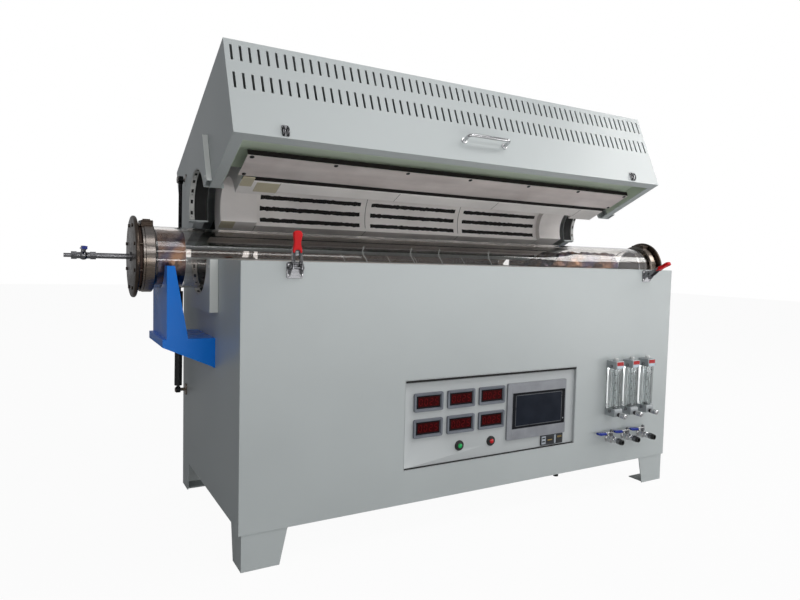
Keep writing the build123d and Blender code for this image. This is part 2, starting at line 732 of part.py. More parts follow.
cover_x = fibre_x + 13.0
lid_cover_y0 = lid_front_y + 94.0
lid_cover_y1 = lid_rear_y - 31.0
cover_z = split_z + 3.0
with BuildPart() as upper_covers:
    with BuildSketch(lid_yz.offset(-fibre_x)):
        with Locations((tube_y, split_z)):
            Circle(trough_r + sheet)
            Circle(trough_r, mode=Mode.SUBTRACT)
        with Locations((tube_y, cover_z - 100)):
            Rectangle(400, 200, mode=Mode.SUBTRACT)
    extrude(amount=2 * fibre_x)
    with BuildSketch(lid_xy.offset(cover_z)):
        with Locations((0, (tube_y - trough_r + lid_cover_y0) / 2)):
            Rectangle(2 * cover_x, tube_y - trough_r - lid_cover_y0)
        with Locations((0, (tube_y + trough_r + lid_cover_y1) / 2)):
            Rectangle(2 * cover_x, lid_cover_y1 - tube_y - trough_r)
    extrude(amount=sheet)
    # hangers up to the roof
    with BuildSketch(lid_xy.offset(split_z + trough_r + 1)):
        with Locations((-450, tube_y), (-150, tube_y), (150, tube_y), (450, tube_y)):
            Rectangle(sheet, 60)
    extrude(amount=lid_h - sheet - trough_r - 1)
    with BuildSketch(lid_xy.offset(split_z + lid_h - sheet)):
        with Locations((-460, tube_y), (-160, tube_y), (160, tube_y), (460, tube_y)):
            Rectangle(22, 60)
    extrude(amount=-sheet)
upper_covers.part.label = "upper_covers"
export_step(upper_covers.part, "parts/upper_covers.step")

upper_port_z = split_z + 1.5
with BuildPart() as upper_ports:
    with BuildSketch(lid_yz.offset(-port_face_x)):
        with Locations((port_mid_y, upper_port_z + port_h / 2)):
            Rectangle(2 * port_half, port_h)
    extrude(amount=port_face_x - panel_w / 2)
    with BuildSketch(lid_yz.offset(-port_face_x + sheet)):
        with Locations((port_mid_y, upper_port_z + port_h / 2 - sheet)):
            Rectangle(2 * port_half - 2 * sheet, port_h)
    extrude(amount=port_face_x - panel_w / 2 - sheet, mode=Mode.SUBTRACT)
    with BuildSketch(lid_yz.offset(-port_face_x)):
        with Locations((tube_y, split_z)):
            Circle(port_r + sheet)
        with Locations((tube_y, upper_port_z - 100)):
            Rectangle(400, 200, mode=Mode.SUBTRACT)
    extrude(amount=52)
    with BuildSketch(lid_yz.offset(-port_face_x)):
        with Locations((tube_y, split_z)):
            Circle(port_r)
    extrude(amount=60, mode=Mode.SUBTRACT)
    mirror(about=Plane.YZ)
upper_ports.part.label = "upper_ports"
export_step(upper_ports.part, "parts/upper_ports.step")

# ================================================================= hinges
hinge_x = (-520.0, 520.0)
leaf_mid_z = split_z - 44.0
hinge_pin_r = 5.0
knuckle_r = 10.0

with BuildPart() as hinge_leaves:
    # leaf on the cabinet's rear wall, two ears and the pin
    with BuildSketch(Plane.XZ.offset(-rear_y)):
        with Locations((hinge_x[0], leaf_mid_z), (hinge_x[1], leaf_mid_z)):
            RectangleRounded(84, 72, 5)
        with Locations(*[(x + dx, leaf_mid_z + dz) for x in hinge_x for dx in (-32, 32) for dz in (-26, 26)]):
            Circle(3, mode=Mode.SUBTRACT)
    extrude(amount=-4)
    for x in hinge_x:
        with BuildSketch(Plane.YZ.offset(x - 28), Plane.YZ.offset(x + 22)):
            with BuildLine():
                Polyline((rear_y + 2, split_z - 75), (rear_y + 2, split_z - 9), (hinge_y - 6, split_z + 8), (hinge_y, split_z),
                         (hinge_y + 4, split_z - 9), close=True)
            make_face()
            with Locations((hinge_y, split_z)):
                Circle(knuckle_r)
        extrude(amount=6)
        with BuildSketch(Plane.YZ.offset(x - 34)):
            with Locations((hinge_y, split_z)):
                Circle(hinge_pin_r)
        extrude(amount=68)
hinge_leaves.part.label = "hinge_leaves"
export_step(hinge_leaves.part, "parts/hinge_leaves.step")

with BuildPart() as lid_knuckles:
    with BuildSketch(lid_xz.offset(-lid_rear_y)):
        with Locations((hinge_x[0], split_z + 42), (hinge_x[1], split_z + 42)):
            RectangleRounded(84, 64, 5)
        with Locations(*[(x + dx, split_z + 42 + dz) for x in hinge_x for dx in (-32, 32) for dz in (-22, 22)]):
            Circle(3, mode=Mode.SUBTRACT)
    extrude(amount=-4)
    for x in hinge_x:
        with BuildSketch(lid_yz.offset(x - 20), lid_yz.offset(x + 14)):
            with BuildLine():
                Polyline((lid_rear_y + 2, split_z + 14), (lid_rear_y + 2, split_z + 70),
                         (hinge_y + 4, split_z + 9), (hinge_y - 4, split_z - 9), close=True)
            make_face()
            with Locations((hinge_y, split_z)):
                Circle(knuckle_r)
                Circle(hinge_pin_r + running, mode=Mode.SUBTRACT)
        extrude(amount=6)
lid_knuckles.part.label = "lid_knuckles"
export_step(lid_knuckles.part, "parts/lid_knuckles.step")

# ================================================================= gas springs
spring_x = panel_w / 2 + 17.0
low_y, low_z = rear_y - 47.6, foot_h + 224.0
high_shut = (lid_rear_y - 129.8, split_z + 164.1)
high_open = (lid_swing * Location((0, high_shut[0], high_shut[1]))).position
reach = sqrt((high_open.Y - low_y) ** 2 + (high_open.Z - low_z) ** 2)
spring_dir = Vector(0, high_open.Y - low_y, high_open.Z - low_z) / reach
stud_r = 5.0
cyl_r = 11.0
cyl_end = 305.0
cyl_floor = 174.0
rod_r = 5.0

with BuildPart() as ball_studs:
    with BuildSketch(Plane.YZ.offset(-side_x)):
        with Locations((low_y, low_z)):
            RectangleRounded(20, 34, 4)
    extrude(amount=-4)
    with BuildSketch(Plane.YZ.offset(-side_x)):
        with Locations((low_y, low_z)):
            Circle(stud_r)
    extrude(amount=-33)
    with BuildSketch(Plane.YZ.offset(-side_x - 30)):
        with Locations((low_y, low_z)):
            Circle(stud_r + 2)
    extrude(amount=-3)
    mirror(about=Plane.YZ)
ball_studs.part.label = "ball_studs"
export_step(ball_studs.part, "parts/ball_studs.step")

with BuildPart() as lid_ball_studs:
    with BuildSketch(lid_yz.offset(-panel_w / 2)):
        with Locations(high_shut):
            RectangleRounded(20, 34, 4)
    extrude(amount=-4)
    with BuildSketch(lid_yz.offset(-panel_w / 2)):
        with Locations(high_shut):
            Circle(stud_r)
    extrude(amount=-27)
    with BuildSketch(lid_yz.offset(-panel_w / 2 - 24)):
        with Locations(high_shut):
            Circle(stud_r + 5)
    extrude(amount=-3)
    mirror(about=Plane.YZ)
lid_ball_studs.part.label = "lid_ball_studs"
export_step(lid_ball_studs.part, "parts/lid_ball_studs.step")

for side, name in ((-1, "left"), (1, "right")):
    base = Plane(origin=(side * spring_x, low_y, low_z), x_dir=(1, 0, 0), z_dir=spring_dir)
    with BuildPart() as spring_cylinder:
        # eye on the lower stud, then the barrel with its gland
        with BuildSketch(Plane.YZ.offset(side * spring_x - 6)):
            with Locations((low_y, low_z)):
                Circle(9.5)
        extrude(amount=12)
        with BuildSketch(base.offset(7)):
            Circle(4.5)
        extrude(amount=12)
        with BuildSketch(base.offset(14)):
            Circle(cyl_r)
        extrude(amount=cyl_end - 14)
        with BuildSketch(base.offset(cyl_floor)):
            Circle(cyl_r - 2)
        extrude(amount=cyl_end - 10 - cyl_floor, mode=Mode.SUBTRACT)
        with BuildSketch(base.offset(cyl_floor)):
            Circle(rod_r + running)
        extrude(amount=cyl_end - cyl_floor, mode=Mode.SUBTRACT)
        with BuildSketch(Plane.YZ.offset(side * spring_x - 7)):
            with Locations((low_y, low_z)):
                Circle(stud_r + running)
        extrude(amount=14, mode=Mode.SUBTRACT)
    spring_cylinder.part.label = f"spring_cylinder_{name}"
    export_step(spring_cylinder.part, f"parts/spring_cylinder_{name}.step")

    with BuildPart() as spring_rod:
        # piston, rod and the open upper eye
        with BuildSketch(base.offset(236)):
            Circle(cyl_r - 2 - running)
        extrude(amount=10)
        with BuildSketch(base.offset(240)):
            Circle(rod_r)
        extrude(amount=reach - 240 - stud_r - spring_eye_gap - 1)
        with BuildSketch(Plane.YZ.offset(side * spring_x - 6)):
            with Locations((high_open.Y, high_open.Z)):
                Circle(stud_r + spring_eye_gap + 4)
                Circle(stud_r + spring_eye_gap, mode=Mode.SUBTRACT)
        extrude(amount=12)
    spring_rod.part.label = f"spring_rod_{name}"
    export_step(spring_rod.part, f"parts/spring_rod_{name}.step")

# ================================================================= work tube and its flanges
with BuildPart() as quartz_tube:
    with BuildSketch(Plane.YZ.offset(tube_left)):
        with Locations((tube_y, split_z)):
            Circle(tube_r)
            Circle(tube_bore_r, mode=Mode.SUBTRACT)
    extrude(amount=tube_right - tube_left)
quartz_tube.part.label = "quartz_tube"
export_step(quartz_tube.part, "parts/quartz_tube.step")

disc_t = 10.0
disc_left = tube_left - disc_t - 2
disc_right = tube_right + disc_t + 2
gap_t = 8.0
hub_len = 30.0
bolt_pcr = 86.0

with BuildPart() as flange_hubs:
    with BuildSketch(Plane.YZ.offset(disc_left + disc_t + gap_t), Plane.YZ.offset(disc_right - disc_t - gap_t - hub_len)):
        with Locations((tube_y, split_z)):
            Circle(hub_r)
    extrude(amount=hub_len)
    # clamp lug on top of each hub
    with Locations((disc_left + disc_t + gap_t + 9, tube_y - 18, split_z + hub_r + 2),
                   (disc_right - disc_t - gap_t - 9, tube_y - 18, split_z + hub_r + 2)):
        Box(18, 26, 14)
    with BuildSketch(Plane.YZ.offset(disc_left), Plane.YZ.offset(disc_right - 60)):
        with Locations((tube_y, split_z)):
            Circle(tube_r + loose)
    extrude(amount=60, mode=Mode.SUBTRACT)
flange_hubs.part.label = "flange_hubs"
export_step(flange_hubs.part, "parts/flange_hubs.step")

with BuildPart() as flange_discs:
    with BuildSketch(Plane.YZ.offset(disc_left), Plane.YZ.offset(disc_right - disc_t)):
        with Locations((tube_y, split_z)):
            Circle(flange_r)
            Circle(7.1, mode=Mode.SUBTRACT)
            with PolarLocations(bolt_pcr, 8, 22.5):
                Circle(3.2, mode=Mode.SUBTRACT)
    extrude(amount=disc_t)
flange_discs.part.label = "flange_discs"
export_step(flange_discs.part, "parts/flange_discs.step")

with BuildPart() as flange_seals:
    with BuildSketch(Plane.YZ.offset(disc_left + disc_t), Plane.YZ.offset(disc_right - disc_t - gap_t)):
        with Locations((tube_y, split_z)):
            Circle(tube_r + 2.6)
            Circle(tube_r + loose, mode=Mode.SUBTRACT)
    extrude(amount=gap_t)
flange_seals.part.label = "flange_seals"
export_step(flange_seals.part, "parts/flange_seals.step")

head_h = 3.0
with BuildPart() as flange_bolts:
    with BuildSketch(Plane.YZ.offset(disc_left - head_h), Plane.YZ.offset(disc_right - disc_t - gap_t)):
        with Locations((tube_y, split_z)):
            with PolarLocations(bolt_pcr, 8, 22.5):
                Circle(3)
    extrude(amount=disc_t + gap_t + head_h)
    with BuildSketch(Plane.YZ.offset(disc_left - head_h), Plane.YZ.offset(disc_right)):
        with Locations((tube_y, split_z)):
            with PolarLocations(bolt_pcr, 8, 22.5):
                Circle(4.4)
    extrude(amount=head_h)
flange_bolts.part.label = "flange_bolts"
export_step(flange_bolts.part, "parts/flange_bolts.step")

shield_len = 52.0
with BuildPart() as heat_shields:
    # rolled foil sleeve with a pierced end disc, one near each end of the tube
    with BuildSketch(Plane.YZ.offset(tube_left + 43), Plane.YZ.offset(tube_right - 43 - shield_len)):
        with Locations((tube_y, split_z - 0.2)):
            Circle(74.6)
            Circle(73.4, mode=Mode.SUBTRACT)
    extrude(amount=shield_len)
    with BuildSketch(Plane.YZ.offset(tube_left + 41 + shield_len), Plane.YZ.offset(tube_right - 43 - shield_len)):
        with Locations((tube_y, split_z - 0.2)):
            Circle(74)
            Circle(8, mode=Mode.SUBTRACT)
    extrude(amount=2)
heat_shields.part.label = "heat_shields"
export_step(heat_shields.part, "parts/heat_shields.step")

inlet_end = disc_left - 150.0
valve_mid_x = disc_left - 107.0
with BuildPart() as inlet_valve:
    # pipe, ball valve and hose end along X
    with BuildSketch(Plane.YZ.offset(disc_left + disc_t)):
        with Locations((tube_y, split_z)):
            Circle(7)
    extrude(amount=-(disc_t + 85))
    with BuildSketch(Plane.YZ.offset(disc_left)):
        with Locations((tube_y, split_z)):
            Circle(12)
    extrude(amount=-4)
    with BuildSketch(Plane.YZ.offset(valve_mid_x + 27), Plane.YZ.offset(valve_mid_x - 15)):
        with Locations((tube_y, split_z)):
            RegularPolygon(9.5, 6, major_radius=False)
    extrude(amount=-12)
    with BuildSketch(Plane.YZ.offset(valve_mid_x + 22)):
        with Locations((tube_y, split_z)):
            Circle(8)
    extrude(amount=-45)
    with Locations((valve_mid_x, tube_y, split_z)):
        Sphere(11)
    with BuildSketch(Plane.YZ.offset(inlet_end + 20)):
        with Locations((tube_y, split_z)):
            Circle(5)
    extrude(amount=-20)
    with BuildSketch(Plane.XY.offset(split_z)):
        with Locations((valve_mid_x, tube_y)):
            Circle(5.5)
    extrude(amount=16)
    with BuildSketch(Plane.XY.offset(split_z)):
        with Locations((valve_mid_x, tube_y)):
            Circle(stem_r)
    extrude(amount=24)
    with BuildSketch(Plane.XY.offset(split_z + 19.6)):
        with Locations((valve_mid_x, tube_y)):
            RegularPolygon(5, 6, major_radius=False)
    extrude(amount=4)
    with BuildSketch(Plane.YZ.offset(inlet_end)):
        with Locations((tube_y, split_z)):
            Circle(3.2)
    extrude(amount=30, mode=Mode.SUBTRACT)
    with BuildSketch(Plane.YZ.offset(disc_left + disc_t)):
        with Locations((tube_y, split_z)):
            Circle(4.5)
    extrude(amount=-95, mode=Mode.SUBTRACT)
inlet_valve.part.label = "inlet_valve"
export_step(inlet_valve.part, "parts/inlet_valve.step")

with BuildPart() as inlet_lever:
    with BuildSketch(Plane.XY.offset(split_z + 16.3)):
        with Locations((valve_mid_x, tube_y)):
            Circle(8)
        with Locations((valve_mid_x, tube_y - 15)):
            Rectangle(10, 30)
        with Locations((valve_mid_x, tube_y)):
            Circle(stem_r + running, mode=Mode.SUBTRACT)
    extrude(amount=3)
    with BuildSketch(Plane.YZ.offset(valve_mid_x - 6)):
        with BuildLine():
            Polyline((tube_y - 18, split_z + 16.3), (tube_y - 24, split_z + 14), (tube_y - 50, split_z + 16),
                     (tube_y - 50, split_z + 23), (tube_y - 26, split_z + 22), (tube_y - 18, split_z + 19.3),
                     close=True)
        make_face()
    extrude(amount=12)
inlet_lever.part.label = "inlet_lever"
export_step(inlet_lever.part, "parts/inlet_lever.step")

with BuildPart() as outlet_pipe:
    with BuildSketch(Plane.YZ.offset(disc_right - disc_t)):
        with Locations((tube_y, split_z)):
            Circle(7)
    extrude(amount=60)
    with BuildSketch(Plane.YZ.offset(disc_right)):
        with Locations((tube_y, split_z)):
            RegularPolygon(12, 6, major_radius=False)
    extrude(amount=12)
    with BuildSketch(Plane.YZ.offset(disc_right - disc_t)):
        with Locations((tube_y, split_z)):
            Circle(4.5)
    extrude(amount=60, mode=Mode.SUBTRACT)
outlet_pipe.part.label = "outlet_pipe"
export_step(outlet_pipe.part, "parts/outlet_pipe.step")

# ================================================================= tube brackets
arm_x = side_x + 128.0
arm_top = split_z - 205.0
saddle_x = arm_x - 10.0
saddle_top = split_z - 20.0
arm_y0, arm_y1 = tube_y - 110, tube_y + 110
plate_t = 4.0

with BuildPart() as bracket_left:
    # shelf with an outer lip and a back plate
    with BuildSketch(Plane.XY.offset(arm_top)):
        with Locations((-arm_x, arm_y0)):
            Rectangle(arm_x - side_x, arm_y1 - arm_y0, align=(Align.MIN, Align.MIN))
    extrude(amount=-plate_t)
    with BuildSketch(Plane.YZ.offset(-arm_x)):
        with Locations((tube_y, arm_top - 10)):
            Rectangle(arm_y1 - arm_y0, 20)
    extrude(amount=plate_t)
    with BuildSketch(Plane.YZ.offset(-side_x)):
        with Locations((tube_y, arm_top - 39)):
            Rectangle(arm_y1 - arm_y0, 78)
        with Locations((tube_y - 70, arm_top - 45), (tube_y + 70, arm_top - 45)):
            Circle(4.5, mode=Mode.SUBTRACT)
    extrude(amount=-plate_t)
    # tapered skirts and gussets, front and rear
    with BuildSketch(Plane.XZ.offset(-arm_y0), Plane.XZ.offset(-arm_y1 + plate_t)):
        with BuildLine():
            Polyline((-arm_x, arm_top), (-arm_x, arm_top - 20), (-side_x, arm_top - 78), (-side_x, arm_top),
                     close=True)
        make_face()
        with BuildLine():
            Polyline((-saddle_x, arm_top), (-saddle_x + 51, arm_top), (-saddle_x + 19, saddle_top),
                     (-saddle_x, saddle_top), close=True)
        make_face()
    extrude(amount=-plate_t)
    # saddle plate with the tube's seat
    with BuildSketch(Plane.YZ.offset(-saddle_x)):
        with Locations((tube_y, (arm_top + saddle_top) / 2)):
            Rectangle(arm_y1 - arm_y0, saddle_top - arm_top)
        with Locations((tube_y, split_z)):
            Circle(tube_r + loose, mode=Mode.SUBTRACT)
    extrude(amount=plate_t)
bracket_left.part.label = "bracket_left"
export_step(bracket_left.part, "parts/bracket_left.step")

with BuildPart() as bracket_right:
    mirror(bracket_left.part, about=Plane.YZ)
bracket_right.part.label = "bracket_right"
export_step(bracket_right.part, "parts/bracket_right.step")

# ================================================================= inside the cabinet
with BuildPart() as power_unit:
    # transformer: laminated core with its winding, on the floor
    with Locations((-330, 60, foot_h + sheet + 75)):
        Box(150, 90, 150)
        Box(90, 150, 90)
    # three power controllers on a rail plate
    with BuildSketch(Plane.XY.offset(foot_h + sheet)):
        with Locations((180, 120)):
            Rectangle(420, 150)
    extrude(amount=6)
    with Locations((60, 120, foot_h + sheet + 76), (180, 120, foot_h + sheet + 76), (300, 120, foot_h + sheet + 76)):
        Box(80, 120, 142)
power_unit.part.label = "power_unit"
export_step(power_unit.part, "parts/power_unit.step")

with BuildPart() as cable_gland:
    with BuildSketch(Plane.XY.offset(foot_h)):
        with Locations((286, -290)):
            RegularPolygon(12, 6, major_radius=False)
    extrude(amount=-10)
    with BuildSketch(Plane.XY.offset(foot_h + 12)):
        with Locations((286, -290)):
            Circle(8)
    extrude(amount=-40)
    with BuildSketch(Plane.XY.offset(foot_h - 30)):
        with Locations((286, -290)):
            Circle(5)
    extrude(amount=44, mode=Mode.SUBTRACT)
cable_gland.part.label = "cable_gland"
export_step(cable_gland.part, "parts/cable_gland.step")
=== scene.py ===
import json
import math

import bmesh
import bpy
from mathutils import Matrix, Vector, noise


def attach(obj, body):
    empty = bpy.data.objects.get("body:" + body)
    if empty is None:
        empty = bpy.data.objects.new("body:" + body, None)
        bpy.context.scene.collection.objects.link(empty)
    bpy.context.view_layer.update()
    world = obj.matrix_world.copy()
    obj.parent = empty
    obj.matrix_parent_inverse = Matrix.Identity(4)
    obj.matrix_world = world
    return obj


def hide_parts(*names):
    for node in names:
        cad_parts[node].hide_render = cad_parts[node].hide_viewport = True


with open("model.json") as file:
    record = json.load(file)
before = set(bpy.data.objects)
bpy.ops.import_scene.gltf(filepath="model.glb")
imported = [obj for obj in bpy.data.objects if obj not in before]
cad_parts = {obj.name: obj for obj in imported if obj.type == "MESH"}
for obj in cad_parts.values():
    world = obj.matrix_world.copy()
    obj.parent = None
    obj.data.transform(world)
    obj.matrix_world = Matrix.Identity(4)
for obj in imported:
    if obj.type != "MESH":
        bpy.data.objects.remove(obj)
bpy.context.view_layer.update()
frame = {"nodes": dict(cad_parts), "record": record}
nodes = frame["nodes"]

MM = 0.001


def body_of_node(node):
    """The body that a CAD node belongs to."""
    for body, members in frame["record"]["behaviour"]["bodies"].items():
        if node in members:
            return body
    return "base"


# ---------------------------------------------------------------- camera
CAMERA_PLACE = Vector((-1116.7, -1817.7, 733.8)) * MM
CAMERA_YAW = math.radians(31.891)
CAMERA_PITCH = math.radians(3.562)
CAMERA_ROLL = math.radians(-1.630)
CAMERA_LENS = 29.4
CAMERA_SHIFT = (-0.04965, 0.0007)


def place_camera():
    """Camera at its place, turned by yaw, pitch and roll."""
    yaw, pitch, roll = CAMERA_YAW, CAMERA_PITCH, CAMERA_ROLL
    ahead = Vector((math.sin(yaw) * math.cos(pitch), math.cos(yaw) * math.cos(pitch), -math.sin(pitch)))
    right = Vector((math.cos(yaw), -math.sin(yaw), 0))
    down = ahead.cross(right)
    right_r = right * math.cos(roll) + down * math.sin(roll)
    down_r = down * math.cos(roll) - right * math.sin(roll)
    turn = Matrix((right_r, -down_r, -ahead)).transposed()
    data = bpy.data.cameras.new("camera")
    camera = bpy.data.objects.new("camera", data)
    bpy.context.scene.collection.objects.link(camera)
    camera.matrix_world = Matrix.Translation(CAMERA_PLACE) @ turn.to_4x4()
    data.sensor_width = 36
    data.lens = CAMERA_LENS
    data.shift_x, data.shift_y = CAMERA_SHIFT
    data.clip_start = 0.05
    data.clip_end = 100
    bpy.context.scene.camera = camera


# ---------------------------------------------------------------- materials
MATERIALS = {}


def node_tree(name):
    """Tree and shader of a new material, which the table keeps under its name."""
    made = bpy.data.materials.new(name)
    MATERIALS[name] = made
    made.use_nodes = True
    tree = made.node_tree
    shader = tree.nodes["Principled BSDF"]
    return tree, shader


def put(node, values):
    """Set a node's inputs by name."""
    for name, value in values.items():
        node.inputs[name].default_value = value


def mottle(tree, scale, detail=3.0, stretch=(1, 1, 1), rough=0.5):
    """Noise on Object coordinates; stretch squeezes it along an axis."""
    place = tree.nodes.new("ShaderNodeTexCoord")
    mapping = tree.nodes.new("ShaderNodeMapping")
    mapping.inputs["Scale"].default_value = stretch
    cloud = tree.nodes.new("ShaderNodeTexNoise")
    put(cloud, {"Scale": scale, "Detail": detail, "Roughness": rough})
    tree.links.new(place.outputs["Object"], mapping.inputs["Vector"])
    tree.links.new(mapping.outputs["Vector"], cloud.inputs["Vector"])
    return cloud


def ramp(tree, source, stops):
    """Colour ramp over source; stops are (place, colour)."""
    made = tree.nodes.new("ShaderNodeValToRGB")
    band = made.color_ramp
    while len(band.elements) < len(stops):
        band.elements.new(0.5)
    for element, (place, colour) in zip(band.elements, stops):
        element.position = place
        element.color = (*colour, 1) if len(colour) == 3 else colour
    tree.links.new(source, made.inputs["Fac"])
    return made


def vary_colour(tree, shader, source, stops):
    """Colour that follows a noise, between the stops."""
    blend = ramp(tree, source, stops)
    tree.links.new(blend.outputs["Color"], shader.inputs["Base Color"])


def vary_gloss(tree, shader, source, low, high):
    """Roughness that follows a noise, from low to high."""
    made = tree.nodes.new("ShaderNodeMapRange")
    put(made, {"From Min": 0.3, "From Max": 0.7, "To Min": low, "To Max": high})
    tree.links.new(source, made.inputs["Value"])
    tree.links.new(made.outputs["Result"], shader.inputs["Roughness"])


def bump(tree, shader, source, strength, distance):
    """Fine relief that follows a noise."""
    made = tree.nodes.new("ShaderNodeBump")
    put(made, {"Strength": strength, "Distance": distance})
    tree.links.new(source, made.inputs["Height"])
    tree.links.new(made.outputs["Normal"], shader.inputs["Normal"])


def shade(colour, factor):
    """A colour made darker or lighter."""
    return tuple(min(1.0, c * factor) for c in colour)


def paint(name, colour, rough=0.42, grain=900.0, grain_depth=0.00003, cloud=3.0, drift=0.06, shine=0.5):
    """Powder coat: faint cloudy tone, fine orange peel."""
    tree, shader = node_tree(name)
    tone = mottle(tree, cloud, 4.0)
    tones = [(0.3, shade(colour, 1 - drift)), (0.7, shade(colour, 1 + drift))]
    vary_colour(tree, shader, tone.outputs["Fac"], tones)
    vary_gloss(tree, shader, tone.outputs["Fac"], rough - 0.05, rough + 0.07)
    bump(tree, shader, mottle(tree, grain, 2.0).outputs["Fac"], 0.25, grain_depth)
    shader.inputs["Specular IOR Level"].default_value = shine


def metal(name, colour, rough=0.28, brush=(1, 1, 60), scale=40.0, tints=(), depth=0.00002, sheen_of=1.0):
    """Brushed or turned metal; tints are extra heat colours laid in clouds."""
    tree, shader = node_tree(name)
    lines = mottle(tree, scale, 5.0, brush)
    stops = [(0.25, shade(colour, 0.78)), (0.75, shade(colour, 1.12))]
    base = ramp(tree, lines.outputs["Fac"], stops)
    out = base.outputs["Color"]
    if tints:
        cloud = mottle(tree, 9.0, 3.0)
        heat = ramp(tree, cloud.outputs["Fac"], tints)
        mix = tree.nodes.new("ShaderNodeMix")
        mix.data_type = "RGBA"
        mix.blend_type = "MULTIPLY"
        mix.inputs["Factor"].default_value = 0.85
        tree.links.new(out, mix.inputs[6])
        tree.links.new(heat.outputs["Color"], mix.inputs[7])
        out = mix.outputs[2]
    tree.links.new(out, shader.inputs["Base Color"])
    vary_gloss(tree, shader, lines.outputs["Fac"], max(0.02, rough - 0.08), rough + 0.1)
    bump(tree, shader, lines.outputs["Fac"], 0.3, depth)
    shader.inputs["Metallic"].default_value = sheen_of


def plastic(name, colour, rough=0.35, grain=1500.0, depth=0.00002, glow=0.0, shine=0.5):
    """Moulded plastic, or a lit one where it glows."""
    tree, shader = node_tree(name)
    tone = mottle(tree, 30.0, 3.0)
    tones = [(0.3, shade(colour, 0.88)), (0.7, shade(colour, 1.1))]
    vary_colour(tree, shader, tone.outputs["Fac"], tones)
    vary_gloss(tree, shader, tone.outputs["Fac"], max(0.03, rough - 0.05), rough + 0.06)
    bump(tree, shader, mottle(tree, grain, 2.0).outputs["Fac"], 0.2, depth)
    shader.inputs["Specular IOR Level"].default_value = shine
    if glow:
        put(shader, {"Emission Color": (*colour, 1), "Emission Strength": glow})


def clear(name, colour, rough=0.02, ior=1.45, streak=0.0, painted_streak_tint=(0.98, 0.98, 0.98)):
    """Clear glass or moulded plastic with faint streaks in its gloss, and stretched streaks in its colour
    that the streak tint darkens: painted reflections of dark surroundings.
    """
    tree, shader = node_tree(name)
    tone = mottle(tree, 6.0, 3.0, (0.2, 1, 1))
    # stretched noise for the streaks of painted reflection in the colour
    painted_streaks = mottle(tree, 9.0, 4.0, (0.09, 5, 5))
    painted_streak_colour = tuple(c * f for c, f in zip(colour, painted_streak_tint))
    vary_colour(tree, shader, painted_streaks.outputs["Fac"], [(0.44, shade(colour, 1.0)), (0.66, painted_streak_colour)])
    vary_gloss(tree, shader, tone.outputs["Fac"], rough, rough + streak)
    put(shader, {"Transmission Weight": 1.0, "IOR": ior})


def fibre_board(name, colour, dark=0.72, scale=60.0):
    """Vacuum-formed ceramic fibre: matt, faintly stained, soft lumps and strands."""
    tree, shader = node_tree(name)
    stain = mottle(tree, 5.0, 5.0)
    stains = [(0.25, shade(colour, dark)), (0.55, colour), (0.8, shade(colour, 1.08))]
    vary_colour(tree, shader, stain.outputs["Fac"], stains)
    strands = mottle(tree, scale, 8.0, (0.5, 1, 1), 0.7)
    bump(tree, shader, strands.outputs["Fac"], 0.6, 0.0012)
    put(shader, {"Roughness": 0.95, "Specular IOR Level": 0.15, "Sheen Weight": 0.2})


paint("cabinet_paint", (0.50, 0.535, 0.535), 0.34, drift=0.03)
paint("plate_paint", (0.50, 0.525, 0.53), 0.36, drift=0.03)
paint("blue_paint", (0.003, 0.22, 0.86), 0.30, drift=0.06, shine=0.22)
paint("black_paint", (0.012, 0.012, 0.013), 0.30, drift=0.2)
paint("unit_grey", (0.09, 0.095, 0.10), 0.6, drift=0.15)
metal("steel", (0.27, 0.245, 0.232), 0.24, (1, 60, 60), 12.0,
      ((0.35, (1, 1, 1)), (0.55, (0.92, 0.80, 0.66)), (0.72, (0.62, 0.46, 0.34))))
# heat tint clouds are real; the very dark steel base under them is a painted reflection of dark surroundings
metal("tinted_steel", (0.10, 0.086, 0.078), 0.30, (0.3, 8, 8), 9.0,
      ((0.25, (1.0, 0.92, 0.84)), (0.5, (0.8, 0.66, 0.55)), (0.65, (0.75, 0.72, 0.80)),
       (0.85, (0.55, 0.46, 0.42))))
metal("foil", (0.24, 0.19, 0.16), 0.34, (0.6, 4, 4), 8.0,
      ((0.25, (1.0, 0.62, 0.34)), (0.42, (0.30, 0.17, 0.15)), (0.52, (0.13, 0.15, 0.46)),
       (0.66, (1.0, 0.60, 0.32)), (0.85, (0.07, 0.05, 0.05))), depth=0.0014)
metal("cover_sheet", (0.88, 0.82, 0.80), 0.36, (0.5, 3, 3), 6.0,
      ((0.3, (1.0, 0.98, 0.97)), (0.6, (0.86, 0.82, 0.81)), (0.8, (1.0, 0.95, 0.92))), sheen_of=0.25)
metal("chrome", (0.66, 0.66, 0.67), 0.12, (1, 1, 8), 60.0, depth=0.000005)
metal("chrome_dark", (0.22, 0.22, 0.23), 0.18, (1, 1, 8), 60.0, depth=0.000005)
metal("zinc", (0.24, 0.24, 0.25), 0.22, (1, 1, 6), 80.0, depth=0.00001)
metal("zinc_dark", (0.10, 0.10, 0.105), 0.25, (1, 1, 6), 80.0, depth=0.00001)
metal("black_rod", (0.022, 0.022, 0.024), 0.20, (8, 8, 1), 60.0, depth=0.000005)
metal("brass", (0.50, 0.36, 0.14), 0.3, (1, 1, 6), 60.0, depth=0.00001)
metal("heating_wire", (0.055, 0.050, 0.047), 0.55, (1, 1, 1), 200.0)
metal("float_metal", (0.35, 0.35, 0.36), 0.25, (1, 1, 60), 60.0)
plastic("meter_plastic", (0.17, 0.185, 0.215), 0.42, shine=0.35)
plastic("window_red", (0.040, 0.0015, 0.002), 0.3, shine=0.05)
plastic("digit_red", (0.085, 0.003, 0.004), 0.5, glow=0.3, shine=0.05)
plastic("panel_silver", (0.27, 0.28, 0.305), 0.36)
plastic("screen_glass", (0.008, 0.009, 0.012), 0.09, shine=0.22)
plastic("screen_lit", (0.008, 0.012, 0.022), 0.16, shine=0.22)
plastic("screen_edge", (0.05, 0.055, 0.065), 0.3)
